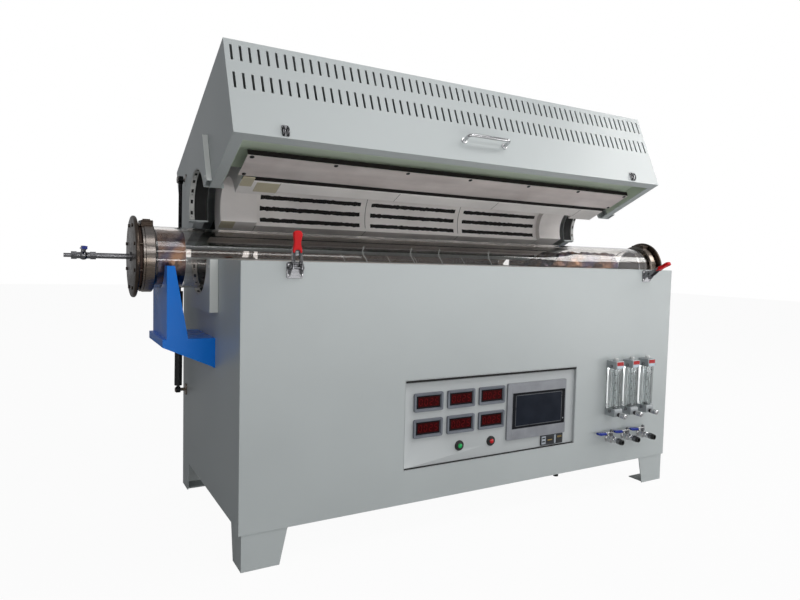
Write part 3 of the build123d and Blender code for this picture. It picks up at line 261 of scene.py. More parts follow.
plastic("socket_plastic", (0.04, 0.043, 0.048), 0.4, shine=0.3)
plastic("socket_grey", (0.38, 0.42, 0.46), 0.4)
plastic("black_plastic", (0.012, 0.012, 0.012), 0.35)
# near-black for painted shade: gaps beside the control plate, holes and bores of the tube ports
plastic("painted_shade_black", (0.006, 0.006, 0.006), 0.8)
plastic("green_plastic", (0.006, 0.30, 0.07), 0.2, glow=0.25)
plastic("red_plastic", (0.55, 0.008, 0.012), 0.2, glow=0.1)
plastic("grip_red", (0.62, 0.002, 0.006), 0.34, shine=0.22)
plastic("lever_blue", (0.010, 0.030, 0.28), 0.24)
plastic("gauge_grey", (0.36, 0.385, 0.40), 0.22)
plastic("scale_white", (0.60, 0.62, 0.63), 0.5)
plastic("fitting_white", (0.62, 0.63, 0.62), 0.4)
plastic("band_red", (0.46, 0.008, 0.010), 0.35, shine=0.25)
plastic("band_pale", (0.55, 0.64, 0.72), 0.35)
clear("clear_plastic", (0.90, 0.94, 0.94), 0.04, 1.49, 0.03)
clear("clear_glass", (0.96, 0.98, 0.98), 0.01, 1.45, 0.02)
# quartz: brownish dark streaks in its colour, painted reflections of the dark surroundings in the tube
clear("quartz", (0.975, 0.972, 0.965), 0.008, 1.45, 0.03, (0.72, 0.67, 0.64))
fibre_board("fibre", (0.86, 0.82, 0.795), 0.8)
fibre_board("joint_cement", (0.56, 0.50, 0.36), 0.8, 90.0)
# near-black fibre laid over the groove mouths: painted shade
fibre_board("groove_shade_black", (0.022, 0.021, 0.021), 0.5, 160.0)
fibre_board("joint_shadow", (0.20, 0.185, 0.17), 0.8, 90.0)
# paler, greener copy of the cabinet paint for the lid's lining: painted bounce light
paint("lining_painted_light", (0.60, 0.68, 0.56), 0.40, drift=0.06)
plastic("fitting_pale", (0.56, 0.56, 0.54), 0.45)
# paler copy of the cabinet paint for the port box fronts: painted light
paint("post_painted_light", (0.80, 0.82, 0.79), 0.36, drift=0.03)
# near-black copy of the lid's lining: painted shade
paint("painted_shade_lining", (0.018, 0.016, 0.015), 0.6, drift=0.15, shine=0.1)
fibre_board("plug_grey", (0.26, 0.235, 0.22), 0.6, 40.0)
plastic("seal_rubber", (0.075, 0.036, 0.022), 0.6)


def slot_of(node):
    for entry in frame["record"]["subparts"]:
        if entry["node"] == node:
            return entry["material_slot"]
    return "cabinet_paint"


def assign(obj, name):
    """Give an object one material."""
    obj.data.materials.clear()
    obj.data.materials.append(MATERIALS[name])


# ---------------------------------------------------------------- mesh helpers
def finish_piece(name, mesh, body, material, smooth=True, edge=0.0, segments=2, angle=40):
    """Turn a bmesh into a piece that rides on a body; edge rounds its edges."""
    data = bpy.data.meshes.new(name)
    mesh.to_mesh(data)
    mesh.free()
    obj = bpy.data.objects.new(name, data)
    bpy.context.scene.collection.objects.link(obj)
    obj.data.materials.append(MATERIALS[material])
    if smooth:
        data.polygons.foreach_set("use_smooth", [True] * len(data.polygons))
        data.set_sharp_from_angle(angle=math.radians(32))
    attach(obj, body)
    if edge:
        soften(obj, edge, segments, angle)
    return obj


def soften(obj, width, segments=2, angle=40):
    """Rounded edges."""
    made = obj.modifiers.new("edges", "BEVEL")
    made.width = width * MM
    made.segments = segments
    made.limit_method = "ANGLE"
    made.angle_limit = math.radians(angle)
    made.harden_normals = True
    made.use_clamp_overlap = True


def merged_copy(node):
    """Copy of a CAD node's mesh with its triangles joined and flat areas merged."""
    mesh = bmesh.new()
    mesh.from_mesh(nodes[node].data)
    bmesh.ops.remove_doubles(mesh, verts=mesh.verts, dist=0.00001)
    bmesh.ops.dissolve_limit(mesh, angle_limit=math.radians(1.0), verts=mesh.verts, edges=mesh.edges,
                             use_dissolve_boundaries=False, delimit=set())
    return mesh


def dress(node, width=0.6, segments=2, name=None, material=None):
    """The CAD node with rounded edges, standing for it."""
    piece = finish_piece(name or node + "_skin", merged_copy(node), body_of_node(node),
                         material or slot_of(node), edge=width, segments=segments)
    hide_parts(node)


for node, obj in nodes.items():
    assign(obj, slot_of(node))

place_camera()


# ---------------------------------------------------------------- shaping helpers (millimetres)
HINGE = Vector((0, 381, 720)) * MM
OPENING = math.radians(-24.158)
LID_OPEN = Matrix.Translation(HINGE) @ Matrix.Rotation(OPENING, 4, "X") @ Matrix.Translation(-HINGE)
X, Y, Z = Vector((1, 0, 0)), Vector((0, 1, 0)), Vector((0, 0, 1))
JOIN = 0.000002            # points closer than this are one, in metres


def block(mesh, x, y, z):
    """Box between two limits on each axis."""
    made = bmesh.ops.create_cube(mesh, size=1.0)["verts"]
    bmesh.ops.scale(mesh, vec=[(high - low) * MM for low, high in (x, y, z)], verts=made)
    bmesh.ops.translate(mesh, vec=[(low + high) / 2 * MM for low, high in (x, y, z)], verts=made)
    return made


def edges_along(verts, axis):
    """Edges among these verts that run along one axis."""
    chosen = set(verts)
    found = []
    for edge in {e for v in verts for e in v.link_edges}:
        run = edge.verts[1].co - edge.verts[0].co
        if all(v in chosen for v in edge.verts) and abs(run[axis]) > 0.999 * run.length:
            found.append(edge)
    return found


def round_corners(mesh, verts, radius, axis, segments=4):
    """Round a box's four edges along one axis; gives back all its verts."""
    edges = edges_along(verts, axis)
    keep = set(verts)
    made = bmesh.ops.bevel(mesh, geom=edges, offset=radius * MM, segments=segments, profile=0.5,
                           affect="EDGES", material=-1, clamp_overlap=True)
    return [v for v in keep if v.is_valid] + made["verts"]


def face_towards(mesh, verts, way):
    """The broad face among these verts that looks the given way."""
    mesh.normal_update()
    faces = {f for v in verts if v.is_valid for f in v.link_faces}
    return max(faces, key=lambda f: f.normal.dot(way) * f.calc_area())


def rod(mesh, start, end, radius, sides=20, tip=None):
    """Round bar between two points; tip gives it a taper."""
    start, end = Vector(start) * MM, Vector(end) * MM
    run = end - start
    turn = run.to_track_quat("Z", "Y").to_matrix().to_4x4()
    bmesh.ops.create_cone(mesh, cap_ends=True, segments=sides, radius1=radius * MM,
                          radius2=(radius if tip is None else tip) * MM, depth=run.length,
                          matrix=Matrix.Translation((start + end) / 2) @ turn)


def ball(mesh, centre, radius, sides=20):
    """Round ball about a centre."""
    bmesh.ops.create_uvsphere(mesh, u_segments=sides, v_segments=sides // 2, radius=radius * MM,
                              matrix=Matrix.Translation(Vector(centre) * MM))


def turned(mesh, outline, centre, axis, steps=32):
    """Lathe: an outline of (along, radius) pairs spun once round an axis through centre."""
    side = axis.orthogonal().normalized()
    middle = Vector(centre) * MM
    before = set(mesh.verts)
    verts = [mesh.verts.new(middle + axis * (along * MM) + side * (radius * MM)) for along, radius in outline]
    edges = [mesh.edges.new(pair) for pair in zip(verts, verts[1:])]
    bmesh.ops.spin(mesh, geom=verts + edges, cent=middle, axis=axis, dvec=(0, 0, 0), angle=math.tau,
                   steps=steps, use_merge=True)
    fresh = [v for v in mesh.verts if v not in before]
    bmesh.ops.remove_doubles(mesh, verts=fresh, dist=JOIN)
    fresh = [v for v in fresh if v.is_valid]
    bmesh.ops.recalc_face_normals(mesh, faces=list({f for v in fresh for f in v.link_faces}))


def slab(mesh, outline, normal_axis, low, high):
    """Flat plate: an outline in the plane across normal_axis, drawn through from low to high."""
    others = [a for a in range(3) if a != normal_axis]
    verts = []
    for u, v in outline:
        place = [0.0, 0.0, 0.0]
        place[normal_axis], place[others[0]], place[others[1]] = low * MM, u * MM, v * MM
        verts.append(mesh.verts.new(place))
    face = mesh.faces.new(verts)
    pushed = bmesh.ops.extrude_face_region(mesh, geom=[face])["geom"]
    far = [g for g in pushed if isinstance(g, bmesh.types.BMVert)]
    shift = Vector((0, 0, 0))
    shift[normal_axis] = (high - low) * MM
    bmesh.ops.translate(mesh, vec=shift, verts=far)
    every = verts + far
    bmesh.ops.recalc_face_normals(mesh, faces=list({f for v in every for f in v.link_faces}))
    return every


def wire(mesh, points, radius, sides=1):
    """Bent wire along a few points."""
    data = bpy.data.curves.new("bent", "CURVE")
    data.dimensions = "3D"
    data.bevel_depth = radius * MM
    data.bevel_resolution = sides
    data.use_fill_caps = True
    line = data.splines.new("NURBS")
    line.points.add(len(points) - 1)
    for knot, place in zip(line.points, points):
        knot.co = (*(Vector(place) * MM), 1)
    line.order_u = 3
    line.use_endpoint_u = True
    line.resolution_u = 6
    shape = bpy.data.objects.new("bent", data)
    bent = bpy.data.meshes.new_from_object(shape)
    before = set(mesh.verts)
    mesh.from_mesh(bent)
    bpy.data.objects.remove(shape)
    bpy.data.curves.remove(data)
    bpy.data.meshes.remove(bent)
    fresh = [v for v in mesh.verts if v not in before]
    bmesh.ops.remove_doubles(mesh, verts=fresh, dist=JOIN)


def add_copy(mesh, data, place, turn=0.0):
    """Put a copy of finished mesh data at a place, turned round X."""
    first = len(mesh.verts)
    mesh.from_mesh(data)
    mesh.verts.ensure_lookup_table()
    fresh = mesh.verts[first:]
    carry = Matrix.Translation(Vector(place) * MM) @ Matrix.Rotation(turn, 4, "X")
    bmesh.ops.transform(mesh, matrix=carry, verts=fresh)


def coil(length, radius, pitch, gauge):
    """Mesh data of a helical winding along x from the origin, with a square-cut wire."""
    mesh = bmesh.new()
    turns, corners = 6, 7
    across = Matrix.Translation(Z * (radius * MM)) @ Y.to_track_quat("Z", "X").to_matrix().to_4x4()
    verts = bmesh.ops.create_circle(mesh, segments=4, radius=gauge * MM, matrix=across)["verts"]
    edges = list({e for v in verts for e in v.link_edges})
    steps = turns * corners
    run = turns * pitch
    bmesh.ops.spin(mesh, geom=verts + edges, cent=(0, 0, 0), axis=X, dvec=(run * MM / steps, 0, 0),
                   angle=math.tau * turns, steps=steps, use_merge=False)
    few = bpy.data.meshes.new("few_turns")
    mesh.to_mesh(few)
    whole = bmesh.new()
    for k in range(int(length / run)):
        add_copy(whole, few, (k * run, 0, 0))
    made = bpy.data.meshes.new("winding")
    whole.to_mesh(made)
    mesh.free()
    whole.free()
    bpy.data.meshes.remove(few)
    return made


def swing_open(mesh):
    """Carry what was drawn on the shut lid to where the lid stands open."""
    bmesh.ops.transform(mesh, matrix=LID_OPEN, verts=mesh.verts)


def screw_head(mesh, place, axis, radius=3.2, height=1.6):
    """Domed cross-head screw: a low turned cap with a sunk middle."""
    cap = [(0, 1), (0.45, 1), (0.85, 0.72), (1, 0.34), (0.35, 0.26), (0.35, 0)]
    turned(mesh, [(height * up, radius * out) for up, out in cap], place, axis, 12)


# ---------------------------------------------------------------- control plate and what it carries
FRONT = -345.0             # front panel's outer face
PLATE = -336.0             # control plate's outer face
BUTTONS = {"green": -118.0, "red": -10.0}
BUTTON_Z = 221.5
READING = (0, 0, 2, 5)


def meter_windows():
    """Six panel meters: chamfered grey bezel, dark pane, dark red window, four red digits."""
    columns, rows = (-222.0, -117.0, -12.0), (354.0, 283.5)
    w, h = 45.0, 25.0
    bezels, panes, windows, digits = (bmesh.new() for _ in range(4))
    for x in columns:
        for z in rows:
            body = block(bezels, (x - w, x + w), (PLATE - 6, PLATE - 0.1), (z - h, z + h))
            body = round_corners(bezels, body, 4.0, 1)
            front = face_towards(bezels, body, -Y)
            bmesh.ops.inset_region(bezels, faces=[front], thickness=1.4 * MM, depth=0.0)
            bmesh.ops.inset_region(bezels, faces=[front], thickness=4.6 * MM, depth=-0.6 * MM)
            bmesh.ops.inset_region(bezels, faces=[front], thickness=1.6 * MM, depth=-3.0 * MM)
            block(panes, (x - w + 8, x + w - 8), (PLATE - 2.8, PLATE - 1.5), (z - h + 8, z + h - 8))
            block(windows, (x - w + 12, x + w - 11), (PLATE - 3.0, PLATE - 2.0), (z - h + 12, z + h - 11))
            for place in range(4):
                number(digits, x - 24.5 + place * 16.5, z, READING[place])
    piece = finish_piece("meter_bezels", bezels, "base", "meter_plastic", edge=0.4)
    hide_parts("meters")
    finish_piece("meter_panes", panes, "base", "screen_glass")
    finish_piece("meter_windows", windows, "base", "window_red")
    finish_piece("meter_digits", digits, "base", "digit_red")


BARS = {0: "abcdef", 2: "abged", 5: "afgcd"}


def number(mesh, x, z, value):
    """Seven-bar digit standing a hair proud of its window."""
    w, h, t = 4.2, 8.2, 1.05
    places = {"a": (0, h, 1), "g": (0, 0, 1), "d": (0, -h, 1), "b": (w, h / 2, 0), "c": (w, -h / 2, 0),
              "f": (-w, h / 2, 0), "e": (-w, -h / 2, 0)}
    for bar in BARS[value]:
        dx, dz, flat = places[bar]
        half_x, half_z = (w - 1.2, t) if flat else (t, h / 2 - 1.1)
        lean = dz * 0.08
        block(mesh, (x + dx + lean - half_x, x + dx + lean + half_x), (PLATE - 3.3, PLATE - 3.0),
              (z + dz - half_z, z + dz + half_z))


def touch_screen():
    """Operator panel: silver frame with plain bands, black glass with a sunk picture area."""
    frame_mesh, glass, picture = bmesh.new(), bmesh.new(), bmesh.new()
    x0, x1, z0, z1 = 43.0, 268.0, 215.0, 382.0
    body = block(frame_mesh, (x0, x1), (PLATE - 6, PLATE - 0.1), (z0, z1))
    body = round_corners(frame_mesh, body, 4, 1)
    front = face_towards(frame_mesh, body, -Y)
    bmesh.ops.inset_region(frame_mesh, faces=[front], thickness=2.0 * MM, depth=0.0)
    # raised middle band that holds the glass
    block(frame_mesh, (59, x1 - 3), (PLATE - 6.6, PLATE - 5.5), (z0 + 7, z1 - 6))
    piece = finish_piece("touch_frame", frame_mesh, "base", "panel_silver", edge=0.6)
    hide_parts("touch_panel")
    block(glass, (61, x1 - 5), (PLATE - 7.1, PLATE - 6.4), (247, 353))
    finish_piece("touch_glass", glass, "base", "screen_glass", edge=0.3)
    block(picture, (74, x1 - 20), (PLATE - 7.35, PLATE - 7.0), (256, 344))
    finish_piece("touch_picture", picture, "base", "screen_lit")
    edge = bmesh.new()
    for across, up in (((71.5, 74), (253.5, 346.5)), ((x1 - 20, x1 - 17.5), (253.5, 346.5)),
                       ((71.5, x1 - 17.5), (253.5, 256)), ((71.5, x1 - 17.5), (344, 346.5))):
        block(edge, across, (PLATE - 7.3, PLATE - 7.0), up)
    finish_piece("touch_picture_edge", edge, "base", "screen_edge")
    # status lamp, a small grey dot
    lamp = bmesh.new()
    turned(lamp, [(0, 2.2), (0.5, 1.8), (0.8, 0)], (x1 - 11.5, PLATE - 7.1, 262), -Y, 12)
    finish_piece("touch_lamp", lamp, "base", "panel_silver")


def data_sockets():
    """Insert with a USB socket and a network socket between pale fillers."""
    body, dark, pale = bmesh.new(), bmesh.new(), bmesh.new()
    verts = block(body, (175, 262), (PLATE - 4, PLATE - 0.1), (183.5, 214.5))
    round_corners(body, verts, 2, 1)
    piece = finish_piece("socket_insert", body, "base", "socket_plastic", edge=0.5)
    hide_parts("port_block")
    for x0, x1, z0, z1 in ((178, 194, 187, 211), (228, 234, 186, 212)):
        block(pale, (x0, x1), (PLATE - 4.6, PLATE - 3.9), (z0, z1))
    for x0, x1, z0, z1 in ((180.5, 191.5, 203, 207), (180.5, 191.5, 193, 197), (198, 222, 189, 209),
                           (238, 258, 188, 210)):
        block(dark, (x0, x1), (PLATE - 4.9, PLATE - 3.9), (z0, z1))
    finish_piece("socket_fillers", pale, "base", "socket_grey", edge=0.3)
    finish_piece("socket_mouths", dark, "base", "black_plastic", edge=0.3)
    tongues = bmesh.new()
    block(tongues, (201, 219), (PLATE - 5.2, PLATE - 4.8), (197, 200))
    for step in range(8):
        block(tongues, (240 + step * 2.1, 241 + step * 2.1), (PLATE - 5.2, PLATE - 4.8), (202, 208))
    finish_piece("socket_contacts", tongues, "base", "brass")


def push_buttons():
    """Black collar and inner ring round each button, and domed caps."""
    collars, rings = bmesh.new(), bmesh.new()
    for x in BUTTONS.values():
        at = (x, PLATE, BUTTON_Z)
        turned(collars, [(0.1, 14.5), (2.6, 14.0), (3.6, 12.6), (3.6, 9.0), (0.1, 9.0)], at, -Y, 36)
        turned(rings, [(0.1, 9.8), (4.8, 9.4), (5.0, 8.2), (5.0, 6.6), (0.1, 6.6)], at, -Y, 36)
    finish_piece("button_collars", collars, "base", "black_plastic")
    piece = finish_piece("button_rings", rings, "base", "black_plastic")
    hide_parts("button_bezels")
    for colour, x in BUTTONS.items():
        name = colour + "_button"
        cap = bmesh.new()
        dome = [(-12, 0), (-12, 6.3), (6.2, 6.3), (7.2, 5.6), (7.8, 3.6), (8.0, 0)]
        turned(cap, dome, (x, PLATE, BUTTON_Z), -Y, 28)
        piece = finish_piece(name + "_cap", cap, name, colour + "_plastic")
        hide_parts(name)


def plate_edge():
    """Black strips in the gaps along the top and bottom of the set-in plate: painted shadow, taller at the
    top.
    """
    gap = bmesh.new()
    x0, x1, z0, z1 = -297.8, 305.8, 177.2, 417.8
    # the strip under the panel's top lip is the taller one: painted shadow from the light above
    block(gap, (x0, x1), (FRONT + 0.3, PLATE - 0.1), (z1 - 8.0, z1))
    block(gap, (x0, x1), (FRONT + 0.3, PLATE - 0.1), (z0, z0 + 3.2))
    finish_piece("plate_edge_painted_shadow", gap, "base", "painted_shade_black")


meter_windows()
touch_screen()
data_sockets()
push_buttons()
plate_edge()


# ---------------------------------------------------------------- gas panel
GAUGES = (451.0, 524.0, 597.0)
NEEDLE_Z = 260.0
VALVES = (450.0, 523.0, 597.0)
VALVE_Z = 177.0
STEM_Y = FRONT - 17.0       # valve stems and their levers turn here


def flow_meters():
    """Three flow meters: clear spine, grey end blocks, scale, bands, screws and fittings."""
    spines, blocks, scales, red, pale, screws, fittings, marks_and_edge_shade = (bmesh.new() for _ in range(8))
    for x in GAUGES:
        # clear spine with rounded front edges
        body = block(spines, (x - 17, x + 17), (FRONT - 34, FRONT - 0.2), (276, 408))
        round_corners(spines, body, 5, 2)
        # end blocks
        for z0, z1 in ((254, 278), (406, 430)):
            body = block(blocks, (x - 17, x + 17), (FRONT - 42, FRONT - 0.1), (z0, z1))
            round_corners(blocks, body, 3, 0)
        # pale scale plate behind the tube, with division marks
        block(scales, (x - 13, x + 13), (FRONT - 9.5, FRONT - 8.5), (284, 402))
        for step in range(14):
            z = 290 + step * 8
            block(marks_and_edge_shade, (x + 5.5, x + 11.5), (FRONT - 34.6, FRONT - 34.1), (z - 1.1, z + 1.1))
            if step % 3 == 0:
                block(marks_and_edge_shade, (x - 12, x - 8), (FRONT - 34.6, FRONT - 34.1), (z - 1.6, z + 1.6))
        # thin black lines down both front edges of the clear spine: painted dark reflections
        for dx in (-16.3, 16.3):
            block(marks_and_edge_shade, (x + dx - 0.4, x + dx + 0.4), (FRONT - 34.5, FRONT - 33.9), (279, 405))
        # plain bands
        block(red, (x - 14, x + 14), (FRONT - 42.5, FRONT - 41.8), (416.5, 428))
        block(pale, (x - 14, x + 14), (FRONT - 42.5, FRONT - 41.8), (407.5, 416.4))
        # screws at the left edge, top and bottom
        for z in (414, 270):
            rod(screws, (x - 17, FRONT - 22, z), (x - 20.5, FRONT - 22, z), 4.4, 16)
            rod(screws, (x - 20.5, FRONT - 22, z), (x - 21.5, FRONT - 22, z), 4.4, 16, 3.6)
        # pale fitting on top
        turned(fittings, [(0, 0), (0, 7), (2, 8), (7, 8), (9, 6), (9, 0)], (x + 2, FRONT - 21, 430), Z, 20)
    piece = finish_piece("flow_meter_spines", spines, "base", "clear_plastic", edge=0.6)
    finish_piece("flow_meter_blocks", blocks, "base", "gauge_grey", edge=0.8)
    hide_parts("rotameter_bodies")
    finish_piece("flow_meter_scales", scales, "base", "scale_white")
    finish_piece("flow_meter_marks_and_edge_shade", marks_and_edge_shade, "base", "black_plastic")
    finish_piece("flow_meter_red_bands", red, "base", "band_red")
    finish_piece("flow_meter_pale_bands", pale, "base", "band_pale")
    finish_piece("flow_meter_screws", screws, "base", "chrome_dark")
    finish_piece("flow_meter_fittings", fittings, "base", "fitting_white")


def needle_knobs():
    """Chrome knurled knob on a black collar, one for each flow meter."""
    for i, x in enumerate(GAUGES, 1):
        grip, collar = bmesh.new(), bmesh.new()
        at = (x, FRONT - 42, NEEDLE_Z)
        turned(grip, [(0, 3), (9.4, 3), (9.4, 7.2), (10.6, 7.8), (12, 7.3), (22, 7.3), (23, 7.8), (29, 7.8),
                      (30.5, 7.0), (32.4, 4.6), (32.4, 0)], at, -Y, 48)
        for v in grip.verts:
            reach = Vector((v.co.x - x * MM, 0, v.co.z - NEEDLE_Z * MM))
            along = (FRONT - 42) - v.co.y / MM
            if reach.length > 6.5 * MM and 11 < along < 23:
                turn = math.atan2(reach.z, reach.x)
                reach *= 1 - 0.07 * (0.5 + 0.5 * math.cos(turn * 24))
                v.co.x, v.co.z = x * MM + reach.x, NEEDLE_Z * MM + reach.z
        piece = finish_piece(f"needle_knob_{i}_grip", grip, f"needle_knob_{i}", "chrome")
        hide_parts(f"needle_knob_{i}")
        turned(collar, [(0.4, 3.2), (0.4, 6.0), (2, 6.6), (7.4, 6.6), (9.2, 5.2), (9.2, 3.2)], at, -Y, 24)
        finish_piece(f"needle_knob_{i}_collar", collar, f"needle_knob_{i}", "black_plastic")


def gas_valves():
    """Ball valves: turned body, hexagons, packing nut, black hose end with an open mouth."""
    body, mouths, nuts = (bmesh.new() for _ in range(3))
    for x in VALVES:
        at = (x, FRONT, VALVE_Z)
        turned(body, [(0, 11.5), (3, 11.5), (3, 9.6), (7, 9.6), (9, 10.8), (12, 11.8), (17, 12.4), (22, 11.8),
                      (25, 10.6), (27, 9.2), (31, 8.4), (33, 9.0), (36, 9.0), (37, 8.0), (46, 8.0),
                      (46, 0)], at, -Y, 32)
        rod(nuts, (x, FRONT - 46, VALVE_Z), (x, FRONT - 58, VALVE_Z), 10.6, 6)
        turned(nuts, [(0, 8), (4, 8), (4, 6.6), (7, 6.6)], (x, FRONT - 58, VALVE_Z), -Y, 20)
        for low, high, radius, sides in ((201.2, 205.3, 5.6, 6), (186, 197.6, 6.2, 24), (201, 207, 3.2, 16)):
            rod(nuts, (x, STEM_Y, low), (x, STEM_Y, high), radius, sides)
        turned(mouths, [(58.2, 0), (58.2, 6.4), (60, 8.6), (64, 8.9), (66.8, 8.2), (67, 6.0), (62, 4.6),
                        (59, 4.4), (59, 0)], at, -Y, 24)
    piece = finish_piece("gas_valve_bodies", body, "base", "chrome")
    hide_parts("ball_valves")
    finish_piece("gas_valve_nuts", nuts, "base", "chrome_dark", edge=0.5)
    finish_piece("gas_valve_mouths", mouths, "base", "black_plastic")
    for i, x in enumerate(VALVES, 1):
        lever, sleeve = bmesh.new(), bmesh.new()
        rod(lever, (x, STEM_Y, 198), (x, STEM_Y, 201), 8, 28)
        slab(lever, [(x - 27, -367), (x - 2, -368), (x - 2, -356), (x - 27, -357)], 2, 198.1, 200.9)
        crank = [(-20, 198), (-26.5, 194), (-30, 194), (-30, 197), (-27, 197), (-20, 201)]
        slab(lever, [(x + dx, z) for dx, z in crank], 1, -367.5, -356.5)
        piece = finish_piece(f"valve_lever_{i}_plate", lever, f"valve_lever_{i}", "chrome", edge=0.5)
        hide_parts(f"valve_lever_{i}")
        dipped = [(-24, 199), (-24, 194.4), (-30, 192.6), (-52, 193.6), (-61, 196.4), (-62, 202.4),
                  (-54, 202.8), (-32, 201.6)]
        slab(sleeve, [(x + dx, z) for dx, z in dipped], 1, -368.0, -356.0)
        finish_piece(f"valve_lever_{i}_sleeve", sleeve, f"valve_lever_{i}", "lever_blue",
                     edge=1.8, segments=4, angle=25)


flow_meters()
needle_knobs()
gas_valves()


# ---------------------------------------------------------------- toggle latches
LATCH = 600.0
LATCH_Y, LATCH_Z = FRONT - 13.0, 706.0
THROWN = math.radians(62)


def latch_plate(mesh, screws, side):
    """Base plate with pressed ears, four screws and the main pin."""
    x = side * LATCH
    body = block(mesh, (x - 21, x + 21), (FRONT - 2.5, FRONT - 0.1), (681, 719))
    round_corners(mesh, body, 6, 1)
    for dx in (-14, 14):
        ear = [(-1, 684), (-1, 717), (-11, 716), (-18, 713), (-19, 704), (-15, 697), (-8, 690)]
        slab(mesh, [(FRONT + out, z) for out, z in ear], 0, x + dx - 1, x + dx + 1)
    rod(mesh, (x - 16.4, LATCH_Y, LATCH_Z), (x + 16.4, LATCH_Y, LATCH_Z), 2.4, 16)
    for dx in (-16.2, 16.2):
        rod(mesh, (x + dx - 0.8, LATCH_Y, LATCH_Z), (x + dx + 0.8, LATCH_Y, LATCH_Z), 4.2, 16)
    for dx, dz in ((-15, -12), (15, -12), (-15, 12), (15, 12)):
        screw_head(screws, (x + dx, FRONT - 2.5, 700 + dz), -Y, 3.6, 2.2)


def latch_lever(metal_mesh, grip_mesh, side):
    """Handle drawn upright: cheeks, bow pin, and a dipped grip that swells to a bulb."""
    x = side * LATCH
    for dx in (-11, 11):
        cheek = [(5, 701), (5.5, 712), (3, 738), (3, 752), (-3, 752), (-4, 738), (-8, 716), (-7, 702)]
        slab(metal_mesh, [(LATCH_Y + dy, z) for dy, z in cheek], 0, x + dx - 1, x + dx + 1)
    rod(metal_mesh, (x - 12, LATCH_Y - 2, 716), (x + 12, LATCH_Y - 2, 716), 1.5, 12)
    slab(metal_mesh, [(x - 11, 734), (x + 11, 734), (x + 9, 756), (x - 9, 756)], 1, LATCH_Y - 1, LATCH_Y + 1)
    # grip: waist, then a rounded bulb
    outline = [(-11.4, 741), (-11.6, 748), (-9.8, 754), (-8.6, 761), (-8.2, 767), (-9.6, 774),
               (-10.8, 781), (-10.4, 787), (-7.0, 790.8), (-2.0, 792), (3.0, 792), (8.4, 790),
               (11.2, 785.2), (10.6, 778), (8.8, 770), (8.0, 764), (8.8, 757), (11.2, 749),
               (11.4, 741), (6.8, 739.6), (5.4, 746), (0, 748), (-5.4, 746), (-6.8, 739.6)]
    verts = slab(grip_mesh, [(x + dx, z) for dx, z in outline], 1, LATCH_Y - 6, LATCH_Y + 4)
    # the bulb bends a little towards the hand
    for v in verts:
        rise = max(0.0, v.co.z / MM - 760)
        v.co.y -= rise * 0.04 * MM


def latch_bow(mesh, side):
    """Bent wire bow with its eyes on the handle's pin."""
    x = side * LATCH
    y = LATCH_Y - 2
    bend = [(-7, 714), (-7, 733), (-6, 745), (0, 749), (6, 745), (7, 733), (7, 714)]
    wire(mesh, [(x + dx, y, z) for dx, z in bend], 2.0, sides=3)
    for dx in (-7, 7):
        eye = [(-2.4, 1.6), (-2.4, 4.0), (2.4, 4.0), (2.4, 1.6), (-2.4, 1.6)]
        turned(mesh, eye, (x + dx, y, 716), X, 16)


def latches():
    """Plates, handles and bows of both latches; the right handle is thrown forward."""
    plates, screws = bmesh.new(), bmesh.new()
    pin = Vector((0, LATCH_Y, LATCH_Z)) * MM
    throw = Matrix.Translation(pin) @ Matrix.Rotation(THROWN, 4, "X") @ Matrix.Translation(-pin)
    for side, name in ((-1, "left"), (1, "right")):
        latch_plate(plates, screws, side)
        lever, grip, bow = bmesh.new(), bmesh.new(), bmesh.new()
        latch_lever(lever, grip, side)
        latch_bow(bow, side)
        if side > 0:
            for part in (lever, grip, bow):
                bmesh.ops.transform(part, matrix=throw, verts=part.verts)
        piece = finish_piece(f"latch_{name}_cheeks", lever, f"latch_handle_{name}", "zinc", edge=0.4)
        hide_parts(f"latch_handle_{name}")
        finish_piece(f"latch_{name}_grip", grip, f"latch_handle_{name}", "grip_red",
                     edge=3.2, segments=4, angle=30)
        piece = finish_piece(f"latch_{name}_bow", bow, f"latch_bow_{name}", "zinc_dark")
        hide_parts(f"latch_bow_{name}")
    piece = finish_piece("latch_plates", plates, "base", "zinc", edge=0.5)
    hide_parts("latch_bases")
    finish_piece("latch_screws", screws, "base", "chrome")


def keepers():
    """Two bent prongs side by side over each latch, on the lid's front."""
    hooks = bmesh.new()
    for x in (-LATCH, LATCH):
        verts = block(hooks, (x - 9, x + 9), (-337, -335.1), (726, 756))
        round_corners(hooks, verts, 3, 1)
        for dx in (-5.4, 5.4):
            prong = [(0, -336, 728), (0, -342, 729), (0, -345, 736), (0, -344, 746), (-1, -341, 750)]
            wire(hooks, [(x + dx + lean, y, z) for lean, y, z in prong], 2.0, sides=2)
            screw_head(hooks, (x + dx, -337, 748), -Y, 2.8, 1.6)
    swing_open(hooks)
    piece = finish_piece("lid_keeper_hooks", hooks, "lid", "zinc_dark")
    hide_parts("lid_keepers")


latches()
keepers()


# ---------------------------------------------------------------- heating chamber and lid lining
TUBE_Y = 30.0
SPLIT = 720.0
ZONES = (-369.0, 0.0, 367.0)
COIL_ANGLES = (11.0, 30.0, 49.0)
CHAMBER = 105.0


